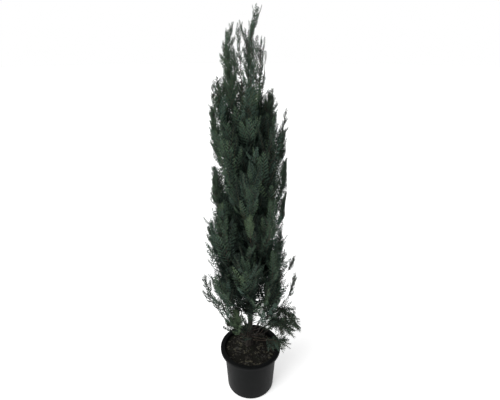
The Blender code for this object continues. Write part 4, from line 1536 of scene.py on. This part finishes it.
@dataclass(frozen=True)
class PlumeShape:
    """The way a plume is built: toothed blades leave its rachis on alternate sides and point forwards.

    Sizes are in metres, angles in degrees from the line that bears them. What is small on a plume grows
    more slowly than the plume, so each small size is a fixed part and a share of the plume's length. Its
    outline is broadest near the foot and narrows to a point.
    """

    length: float
    width: float = 0.30
    bulge: float = 1.52
    tip_power: float = 0.80
    foot_power: float = 0.38
    foot_share: float = 0.05
    blade_step: tuple[float, float] = (0.0024, 0.044)
    step_stray: tuple[float, float] = (0.85, 1.15)
    blade_angle: tuple[float, float] = (56.0, 38.0)
    blade_stray: float = 5.0
    blade_range: tuple[float, float] = (0.76, 1.14)
    blade_curl: float = 16.0
    blade_roll: float = 0.30
    tooth_step: tuple[float, float] = (0.0022, 0.012)
    tooth: tuple[float, float] = (0.0028, 0.021)
    tooth_limit: tuple[float, float] = (0.002, 0.75)
    tooth_range: tuple[float, float] = (0.82, 1.12)
    tooth_base: float = 1.5
    tooth_angle: float = 34.0
    angle_stray: tuple[float, float] = (0.80, 1.20)
    tooth_drop: float = 0.30
    youth: tuple[float, float, float] = (0.15, 0.60, 0.25)
    end_youth: tuple[float, float] = (0.80, 0.2)
    # Painted shade: how much darker the teeth on one side of each blade are dealt than those on the other.
    painted_lee_shade: float = 0.26
    taper: float = 0.50
    crowding: float = 0.35
    first: float = 0.05
    last: float = 0.975
    end: float = 0.95
    point_size: float = 0.9
    point_width: float = 0.22
    lift: float = 0.0016
    halvings: int = 12

    def size(self, rule: tuple[float, float]) -> float:
        """A small size: its fixed part and its share of the length."""
        return rule[0] + rule[1] * self.length

    def half_width(self, along: float) -> float:
        """The plume's half width where its outline is so far along it.

        Args:
            along: How far from the foot, in metres.

        Returns:
            The half width.
        """
        t = min(max(along / self.length, 0.0), 1.0)
        broad = self.width * self.length / 2.0 * self.bulge
        return broad * (1.0 - t) ** self.tip_power * (t + self.foot_share) ** self.foot_power

    def reach(self, along: float, angle: float) -> float:
        """How long a blade is that leaves the rachis at an angle and ends on the plume's outline.

        Args:
            along: Where it starts, in metres from the foot.
            angle: Its angle, in radians.

        Returns:
            Its length.
        """
        short, far = 0.0, self.length
        for _ in range(self.halvings):
            middle = (short + far) / 2.0
            inside = middle * math.sin(angle) < self.half_width(along + middle * math.cos(angle))
            short, far = (middle, far) if inside else (short, middle)
        return short

    def pattern(self, rule: random.Random) -> Pattern:
        """Draws one plume.

        Args:
            rule: The seeded draws.

        Returns:
            The plume, flat, with its foot at the origin and its tip along +Y.
        """
        draft = Draft()
        along = self.first * self.length
        side = rule.choice((-1, 1))
        while along < self.length * self.last:
            self._blade(draft, along, side, rule)
            side = -side
            t = along / self.length
            step = self.size(self.blade_step) * rule.uniform(*self.step_stray)
            along += step * (1.0 - self.crowding * t)
        self._point(draft, (0.0, self.length * self.end, 0.0), 0.0, self.size(self.tooth), 1.0)
        return draft.pattern()

    def _blade(self, draft: Draft, along: float, side: int, rule: random.Random) -> None:
        """Draws one blade: a row of teeth along both sides of its spine and a point at its end.

        Args:
            draft: The plume that it is drawn on.
            along: How far up the rachis it starts.
            side: The side that it leaves on, -1 or 1.
            rule: The seeded draws.
        """
        t = along / self.length
        angle = math.radians(self.blade_angle[0] + (self.blade_angle[1] - self.blade_angle[0]) * t)
        angle += math.radians(rule.uniform(-self.blade_stray, self.blade_stray))
        reach = self.reach(along, angle) * rule.uniform(*self.blade_range)
        steps = max(round(reach / self.size(self.tooth_step)), 1)
        curl = math.radians(self.blade_curl)
        roll = rule.uniform(-self.blade_roll, self.blade_roll)
        lift = rule.uniform(-self.lift, self.lift)
        tooth = min(self.size(self.tooth), self.tooth_limit[1] * reach + self.tooth_limit[0])
        old, outer, upper = self.youth
        spine = (0.0, along, 0.0)
        for step in range(steps):
            share = step / steps
            way = side * (angle - curl * share)
            x, y, _ = spine
            high = lift * (share + 1.0 / steps)
            ahead = (x + math.sin(way) * reach / steps, y + math.cos(way) * reach / steps, high)
            base = tuple(a + (b - a) * self.tooth_base for a, b in zip(spine, ahead))
            youth = old + outer * share + upper * t
            for turn in (-1, 1):
                heading = way + turn * math.radians(self.tooth_angle * rule.uniform(*self.angle_stray))
                size = tooth * (1.0 - self.taper * share) * rule.uniform(*self.tooth_range)
                proud = lift * share + size * (turn * roll - self.tooth_drop)
                tip = (x + math.sin(heading) * size, y + math.cos(heading) * size, proud)
                # Painted shade: the teeth on one side of the blade are dealt darker tints than those on the
                # other.
                shade = youth - self.painted_lee_shade * turn * side
                draft.add((spine, tip, base) if turn < 0 else (spine, base, tip), shade)
            spine = ahead
        youth = self.end_youth[0] + self.end_youth[1] * t
        self._point(draft, spine, side * (angle - curl), tooth * self.point_size, youth)

    def _point(self, draft: Draft, foot: Corner, way: float, size: float, youth: float) -> None:
        """Draws the pointed end of a blade, at a foot and along a direction.

        Args:
            draft: The plume that it is drawn on.
            foot: Where it starts.
            way: Its direction, in radians from the rachis.
            size: Its length.
            youth: How young it is.
        """
        x, y, z = foot
        wide = self.point_width * size
        tip = (x + math.sin(way) * size, y + math.cos(way) * size, z)
        back = (x - math.sin(way) * wide, y - math.cos(way) * wide)
        left = (back[0] - math.cos(way) * wide, back[1] + math.sin(way) * wide, z)
        right = (back[0] + math.cos(way) * wide, back[1] - math.sin(way) * wide, z)
        draft.add((left, right, tip), youth)


@dataclass(frozen=True)
class Seat:
    """Where a plume sits: its foot, the way it points, the way it faces, its length and its coat.

    Its ease is how far it may stand outside the crown; one that must keep inside has a negative ease.
    """

    foot: Vector
    heading: Vector
    normal: Vector
    length: float
    coat: Coat
    rise: float
    nod: float
    ease: float


Grown = tuple[Seat, list[Vector]]


@dataclass(frozen=True)
class Offshoot:
    """A kind of side plume.

    It starts on its branchlet between the two shares in starts. It leaves sideways by an angle in spread and
    outwards by one in depth, in degrees, and its length is a share, in size, of its branchlet's.
    """

    starts: tuple[float, float]
    spread: tuple[float, float]
    depth: tuple[float, float]
    size: tuple[float, float]
    outer: bool = False
    ease: float = 0.0


LATERAL = Offshoot((0.02, 0.38), (16.0, 34.0), (-22.0, 26.0), (0.66, 0.92))
TUFT = Offshoot((0.22, 0.86), (28.0, 54.0), (-4.0, 44.0), (0.26, 0.42), outer=True, ease=0.016)


@dataclass
class Foliage:
    """The foliage: stems, twigs and plumes that grow on from the limbs."""

    growth: Growth
    lengths: tuple[float, ...] = (0.050, 0.075, 0.105, 0.140, 0.180, 0.220)
    variants: int = 4
    first_seed: int = 3
    bends: int = 7
    laterals: int = 4
    tufts: int = 6
    fill: int = 12
    bough_fill: int = 12
    trunk_fill: int = 56
    inner_depth: float = 0.042
    inner_width: float = 0.52
    inner_step: tuple[float, float] = (0.0021, 0.041)
    inner_tooth: tuple[float, float] = (0.0060, 0.045)
    inner_length: tuple[float, float] = (0.12, 0.17)
    inner_tilt: tuple[float, float] = (16.0, 54.0)
    inner_roll: float = 0.6
    pattern_seed: int = 17
    pattern_width: tuple[float, float] = (0.28, 0.38)
    trunk_seed: int = 77
    trunk_stretch: tuple[float, float] = (0.02, 0.15)
    top_stretch: tuple[float, float] = (1.12, 0.14)
    edgewise: float = 0.85
    roll: float = 0.40
    early_rise: float = 0.3
    sizes: tuple[float, ...] = (1.0, 0.85, 0.7, 0.58, 0.48)
    main_size: float = 0.95
    nod: tuple[float, float] = (0.02, 0.16)
    flank: float = 0.13
    ages: tuple[float, float] = (0.38, 0.86)
    age_stray: float = 0.12
    rachis_radii: tuple[float, float] = (0.0010, 0.0003)
    rachis_sides: int = 3
    rachis_wood: float = 0.42
    stem_sides: int = 6
    cup: float = 5.0
    own_seed: int = 1000
    bough_stretch: tuple[float, float] = (0.35, 0.65)
    upturn: float = 0.001
    second_try: float = 0.9
    nod_facing: float = 0.4
    wood: TwigFinish = TwigFinish("twig_wood", (0.060, 0.042, 0.030), (0.026, 0.018, 0.013))
    green: TwigFinish = TwigFinish("twig_green", (0.070, 0.072, 0.036), (0.036, 0.040, 0.022))

    def __post_init__(self) -> None:
        """Draws the plume patterns that are copied and bent."""
        rule = random.Random(self.pattern_seed)
        self.patterns = {
            length: [
                PlumeShape(length, rule.uniform(*self.pattern_width)).pattern(rule)
                for _ in range(self.variants)
            ]
            for length in self.lengths
        }
        self.inner = {
            length: [self._inner_shape(length).pattern(rule) for _ in range(self.variants)]
            for length in self.lengths
        }
        self.leaves = {region: Heap() for region in Region}
        self.twigs = {region: Heap() for region in Region}

    def _inner_shape(self, length: float) -> PlumeShape:
        """The shape of the broad plumes that close the crown from inside."""
        return PlumeShape(length, self.inner_width, blade_step=self.inner_step, tooth=self.inner_tooth)

    def make(self) -> None:
        """Grows every mass and joins what grew into a leaf piece and a twig piece for each region."""
        masses = self.growth.masses()
        for seed, mass in enumerate(masses + list(STRAYS), self.first_seed):
            self._grow(mass, seed)
        self._fill_trunk()
        wood, green = self.wood.material(), self.green.material()
        for region in Region:
            nodes = [f"foliage_{mass.name}" for mass in masses if mass.region is region]
            leaves = self.leaves[region].build(f"leaves_{region.name.lower()}")
            Bench.dress(leaves, *[tint.material() for tint in Tint])
            self.leaves[region].set_slots(leaves)
            Bench.hand_over(leaves, "foliage", *nodes)
            twigs = self.twigs[region].build(f"twigs_{region.name.lower()}")
            Bench.dress(twigs, wood, green)
            self.twigs[region].set_slots(twigs)
            Bench.hand_over(twigs, "bark", *nodes)
        total = sum(heap.triangles for heap in (*self.leaves.values(), *self.twigs.values()))
        log.info("foliage: %d triangles in all", total)

    # ------------------------------------------------ one mass

    def _grow(self, mass: Mass, seed: int) -> None:
        """Grows one mass: its stem, a branchlet for each spray of the rule, and what fills a dense one.

        Args:
            mass: The mass.
            seed: The seed of its own draws.
        """
        rule = random.Random(seed + self.own_seed)
        points, radii = self.growth.stem_line(mass)
        self._twig(mass, points, radii, self.stem_sides, ALL_WOOD)
        for length, places in self.growth.sprays(mass, seed):
            self._branchlet(mass, length, places, rule)
        if mass.dense and mass.region is not Region.TIER1:
            first, rest = self.bough_stretch
            steps = [first + rest * step / 3 for step in range(4)]
            bough = [self.growth.bough_point(mass, step) for step in steps]
            self._fill(mass, points[-self.growth.stem_steps - 1:], self.fill, rule)
            self._fill(mass, bough, self.bough_fill, rule)

    def _branchlet(self, mass: Mass, length: float, places: list[Place], rule: random.Random) -> None:
        """Grows one spray of the rule: a branchlet that ends in a plume and has others on its sides.

        Args:
            mass: The mass.
            length: The spray's length.
            places: Where it may grow, the best first.
            rule: The seeded draws.
        """
        tries = [(length * self.main_size, self._edged(foot, heading, rule)) for foot, heading, _ in places]
        grown = self._fitted(mass, tries, rule, self._coat(mass, rule, True))
        if grown is None:
            return
        self._offshoots(mass, LATERAL, self.laterals if mass.dense else mass.laterals, grown, rule)
        self._offshoots(mass, TUFT, self.tufts if mass.dense else mass.laterals, grown, rule)

    def _edged(self, foot: Vector, heading: Vector, rule: random.Random) -> Place:
        """The place of a plume: it faces the way it leans, or has an edge there if it leans sideways.

        Args:
            foot: Its foot.
            heading: The way it points.
            rule: The seeded draws.

        Returns:
            Its foot, its heading and its normal.
        """
        out = Vector((heading.x, heading.y, self.upturn))
        sideways = (out.x / out.length) ** 2
        share = sideways ** 2 * (3.0 - 2.0 * sideways)
        quarter = math.pi / 2.0 if rule.random() < self.edgewise * share else 0.0
        facing = (out - heading * out.dot(heading)).normalized()
        return foot, heading, Matrix.Rotation(rule.gauss(quarter, self.roll), 3, heading) @ facing

    def _offshoots(self, mass: Mass, kind: Offshoot, count: int, grown: Grown, rule: random.Random) -> None:
        """Grows side plumes on alternate sides of a branchlet.

        Args:
            mass: The mass that they belong to.
            kind: What kind they are.
            count: How many.
            grown: The branchlet.
            rule: The seeded draws.
        """
        seat, line = grown
        side = rule.choice((-1.0, 1.0))
        for index in range(count):
            first, last = kind.starts
            start, along = self.growth.along(line, first + (last - first) * index / count)
            normal = (seat.normal - along * seat.normal.dot(along)).normalized()
            spread = math.radians(rule.uniform(*kind.spread)) * side
            depth = math.radians(rule.uniform(*kind.depth))
            way = along * math.cos(spread) + along.cross(normal) * math.sin(spread)
            way = way * math.cos(depth) + normal * math.sin(depth)
            way = way.lerp(UP, mass.rise * self.early_rise).normalized()
            start, way, facing = self._edged(start, way, rule)
            reach = seat.length * rule.uniform(*kind.size)
            goal = way.lerp(UP, mass.rise).normalized()
            steeper = (facing - goal * facing.dot(goal)).normalized()
            tries = [(reach, (start, way, facing)), (reach * self.second_try, (start, goal, steeper))]
            self._fitted(mass, tries, rule, self._coat(mass, rule, kind.outer or index < 2), kind.ease)
            side = -side

    def _fill_trunk(self) -> None:
        """Grows the short shaded plumes that stand on the trunk itself, inside the crown."""
        rule = random.Random(self.trunk_seed)
        for tier, (height, _, _) in enumerate(TIERS):
            if not tier:
                continue
            inner = Mass(f"tier{tier + 1}_inner", FRONT, height, 0.0, height)
            low, rise = self.trunk_stretch
            steps = [height + low + rise * step / 4 for step in range(5)]
            self._fill(inner, [self.growth.trunk_point(step) for step in steps], self.trunk_fill, rule)
        low, rise = self.top_stretch
        top = Mass("shoulder_inner", FRONT, low, 0.0, low)
        steps = [low + rise * step / 4 for step in range(5)]
        self._fill(top, [self.growth.trunk_point(step) for step in steps], self.trunk_fill, rule)

    def _fill(self, mass: Mass, points: list[Vector], count: int, rule: random.Random) -> None:
        """Grows shaded plumes that close the crown from inside, on all sides of a line.

        Args:
            mass: The mass that they belong to.
            points: The line.
            count: How many plumes.
            rule: The seeded draws.
        """
        for index in range(count):
            foot, way = self.growth.along(points, (index + 0.5) / count)
            turn = math.tau * ((index * GOLDEN_SHARE) % 1.0)
            out = self.growth.out_of(mass.azimuth)
            outward = (out - way * out.dot(way)).normalized()
            away = outward * math.cos(turn) + way.cross(outward) * math.sin(turn)
            tilt = math.radians(rule.uniform(*self.inner_tilt))
            heading = (way * math.cos(tilt) + away * math.sin(tilt)).normalized()
            normal = (away * math.cos(tilt) - way * math.sin(tilt)).normalized()
            normal = Matrix.Rotation(rule.gauss(0.0, self.inner_roll), 3, heading) @ normal
            tries = [(rule.uniform(*self.inner_length), (foot, heading, normal))]
            self._fitted(mass, tries, rule, Coat.SHADE, -self.inner_depth)

    def _coat(self, mass: Mass, rule: random.Random, outer: bool) -> Coat:
        """Deals a plume its coat, with painted shade and light: darker coats inside the crown and on its
        right, lighter ones towards the top and the outside.

        Args:
            mass: The mass that the plume belongs to.
            rule: The seeded draws.
            outer: Whether the plume shows on the outside.

        Returns:
            The coat.
        """
        if mass.coat:
            return mass.coat
        height = mass.height
        # Painted shade: masses on the crown's right, away from the key light, get more of the dark coats;
        # painted light: masses above 0.9 m get more GREEN.
        painted_lee_shade = max(math.cos(math.radians(mass.azimuth)), 0.0)
        weights = {
            Coat.SHADE: (0.2 if outer else 3.0) + 2.0 * painted_lee_shade,
            Coat.DUSK: 2.2 + 1.5 * painted_lee_shade,
            Coat.GREEN: ((3.5 if outer else 0.8) + 2.5 * max(height - 0.9, 0.0)) * (1.0 - 0.6 * painted_lee_shade),
            Coat.GLAUCOUS: (1.8 if outer else 0.4) * (1.0 - 0.5 * painted_lee_shade),
            Coat.SPRING: 0.9 if height < 0.33 else 0.10,
            Coat.WITHERED: 0.012,
        }
        return rule.choices(list(weights), list(weights.values()))[0]

    # ------------------------------------------------ one plume

    def _fitted(self, mass: Mass, tries: list[tuple[float, Place]], rule: random.Random, coat: Coat,
                ease: float = 0.0) -> Grown | None:
        """Grows the largest plume that the crown allows.

        Args:
            mass: The mass that it grows in.
            tries: Its (length, (foot, heading, normal)), the best first.
            rule: The seeded draws.
            coat: Its coat.
            ease: How far it may stand outside the crown, negative for the broad shaded plumes that close it.

        Returns:
            Its seat and its middle line, or None where no size fits.
        """
        nod = rule.uniform(*self.nod)
        variant = rule.randrange(self.variants)
        mirror = rule.choice((-1.0, 1.0))
        for size in self.sizes:
            for length, (foot, heading, normal) in tries:
                seat = Seat(foot, heading, normal, length * size, coat, mass.rise, nod, ease)
                line = self._rachis(seat)
                if self._fits(mass, seat, line):
                    self._plume(mass, seat, line, variant, mirror, rule)
                    return seat, line
        return None

    def _rachis(self, seat: Seat) -> list[Vector]:
        """The middle line of a plume, which rises towards upright and nods outwards at its tip.

        Args:
            seat: The plume's seat.

        Returns:
            The line's points, evenly spaced.
        """
        points = [seat.foot.copy()]
        outward = Vector((seat.heading.x, seat.heading.y, 0.0))
        outward += Vector((seat.normal.x, seat.normal.y, 0.0)) * self.nod_facing
        way = seat.heading.copy()
        for step in range(self.bends):
            t = (step + 1) / self.bends
            way = (seat.heading.lerp(UP, seat.rise * t) + outward * seat.nod * (3.0 * t * t)).normalized()
            points.append(points[-1] + way * seat.length / self.bends)
        return points

    def _fits(self, mass: Mass, seat: Seat, line: list[Vector]) -> bool:
        """Whether a plume keeps to the crown's reach and above the pot's rim.

        Args:
            mass: The mass.
            seat: The plume's seat.
            line: Its middle line.

        Returns:
            Whether it does.
        """
        across = seat.heading.cross(seat.normal) * seat.length * self.flank
        places = [line[-1], line[4] + across, line[4] - across, line[2] + across, line[2] - across]
        if any(place.z < self.growth.floor or not self.growth.in_reach(place) for place in places):
            return False
        return mass.free or all(self.growth.in_crown(place, seat.ease) for place in places)

    def _plume(self, mass: Mass, seat: Seat, line: list[Vector], variant: int, mirror: float,
               rule: random.Random) -> None:
        """Bends a copy of the nearest pattern along its rachis and adds both to their heaps.

        Args:
            mass: The mass that it belongs to.
            seat: Its seat.
            line: Its middle line.
            variant: Which of the patterns of its length it is.
            mirror: 1 as drawn or -1 turned over.
            rule: The seeded draws.
        """
        made_for = min(self.lengths, key=lambda length: abs(length - seat.length))
        pattern = (self.inner if seat.ease < 0.0 else self.patterns)[made_for][variant]
        scale = seat.length / made_for
        rings = np.array(line)
        ways = np.gradient(rings, axis=0)
        ways /= np.linalg.norm(ways, axis=1)[:, None]
        facing = np.array(seat.normal) - ways * (ways @ np.array(seat.normal))[:, None]
        facing /= np.linalg.norm(facing, axis=1)[:, None]
        across = np.cross(ways, facing)
        local = pattern.points * np.array((mirror, scale, 1.0))
        local[:, 0] *= 0.5 + 0.5 * scale
        stations = np.linspace(0.0, seat.length, len(line))
        held = np.clip(local[:, 1], 0.0, seat.length)
        middle, way, face, side = (
            np.stack([np.interp(held, stations, table[:, axis]) for axis in range(3)], axis=1)
            for table in (rings, ways, facing, across)
        )
        beyond = (local[:, 1] - held)[:, None]
        proud = local[:, 2] - self.cup * local[:, 0] ** 2
        points = middle + way * beyond + side * local[:, :1] + face * proud[:, None]
        faces = pattern.faces if mirror > 0 else pattern.faces[:, ::-1]
        age = pattern.age + rule.uniform(-self.age_stray, self.age_stray)
        slots = np.array([tint.slot for tint in seat.coat.value])[np.digitize(age, self.ages)]
        self.leaves[mass.region].add(points, faces, slots)
        radii = np.linspace(*self.rachis_radii, len(line)).tolist()
        self._twig(mass, line, radii, self.rachis_sides, self.rachis_wood)

    def _twig(self, mass: Mass, points: list[Vector], radii: list[float], sides: int, woody: float) -> None:
        """Adds a twig to its heap. Its first stretch, up to the share woody, is brown and the rest green."""
        corners, faces, shares = tube(points, radii, sides)
        self.twigs[mass.region].add(corners, faces, (shares > woody).astype(int))


# ---------------------------------------------------------------- studio


@dataclass
class Studio:
    """The floor, the light and the camera."""

    eye: tuple[float, float, float] = (0.0, -1.3374, 1.5329)
    pitch: float = 22.94
    focal_px: float = 369.5
    frame_px: int = 500
    middle_px: float = 250.5
    sensor: float = 36.0
    floor_radius: float = 30.0
    floor_thickness: float = 0.02
    floor_sides: int = 96
    pale: Colour = (0.98, 0.98, 0.98)
    dull: Colour = (0.94, 0.94, 0.94)
    dull_share: float = 0.2
    dull_scale: float = 3.0
    glow: float = 0.40
    sky: float = 0.55
    key_from: tuple[float, float, float] = (-0.75, -0.62, 0.95)
    key_breadth: float = 45.0
    key_power: float = 2.0

    def make(self) -> None:
        """Lays the floor, hangs the lights and sets up the camera."""
        bpy.context.scene.view_settings.view_transform = "Standard"
        self._floor()
        self._sky()
        self._sun()
        self._camera()

    def _floor(self) -> None:
        """A wide round floor just under the pot."""
        Bench.clear()
        bpy.ops.mesh.primitive_circle_add(
            vertices=self.floor_sides, radius=self.floor_radius, fill_type="NGON"
        )
        floor = Bench.take("floor")
        Bench.modify(floor, "SOLIDIFY", thickness=self.floor_thickness, offset=-1.0)
        graph = Graph("floor_paper", roughness=0.9, specular=0.2)
        mottle = graph.noise(graph.place(), self.dull_scale, detail=2.0)
        graph.feed("Base Color", graph.mix(mottle * self.dull_share, self.pale, self.dull))
        graph.shader.inputs["Emission Color"].default_value = (1.0, 1.0, 1.0, 1.0)
        graph.shader.inputs["Emission Strength"].default_value = self.glow
        Bench.dress(floor, graph.material)
        floor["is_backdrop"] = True

    def _sky(self) -> None:
        """An even surrounding, white to look at and softer as a light."""
        world = bpy.context.scene.world or bpy.data.worlds.new("studio")
        bpy.context.scene.world = world
        world.use_nodes = True
        tree = world.node_tree
        ground = tree.nodes["Background"]
        ground.inputs["Color"].default_value = (1.0, 1.0, 1.0, 1.0)
        path = tree.nodes.new("ShaderNodeLightPath")
        strength = tree.nodes.new("ShaderNodeMapRange")
        strength.inputs["To Min"].default_value = self.sky
        tree.links.new(path.outputs["Is Camera Ray"], strength.inputs["Value"])
        tree.links.new(strength.outputs["Result"], ground.inputs["Strength"])

    def _sun(self) -> None:
        """One very broad soft light from the upper left in front."""
        light = bpy.data.lights.new("key", "SUN")
        light.angle = math.radians(self.key_breadth)
        light.energy = self.key_power
        lamp = bpy.data.objects.new("key", light)
        aim = -Vector(self.key_from)
        lamp.rotation_euler = aim.to_track_quat("-Z", "Y").to_euler()
        bpy.context.scene.collection.objects.link(lamp)

    def _camera(self) -> None:
        """A camera a little above the crown's middle that looks down along +Y."""
        data = bpy.data.cameras.new("camera")
        data.sensor_width = self.sensor
        data.sensor_fit = "HORIZONTAL"
        data.lens = self.focal_px / self.frame_px * self.sensor
        data.shift_x = (self.frame_px / 2.0 - self.middle_px) / self.frame_px
        camera = bpy.data.objects.new("camera", data)
        camera.location = self.eye
        camera.rotation_euler = (math.radians(90.0 - self.pitch), 0.0, 0.0)
        bpy.context.scene.collection.objects.link(camera)
        bpy.context.scene.camera = camera


def main() -> None:
    """Builds the plant's looks in order."""
    logging.basicConfig(level=logging.INFO, format="%(message)s")
    cad_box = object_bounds()
    growth = Growth(reach=tuple(Vector(corner) for corner in cad_box))
    pot = Pot()
    pot.make()
    Compost(pot).make()
    Limbs(growth).make()
    Foliage(growth).make()
    Studio().make()


if __name__ == "__main__":
    main()
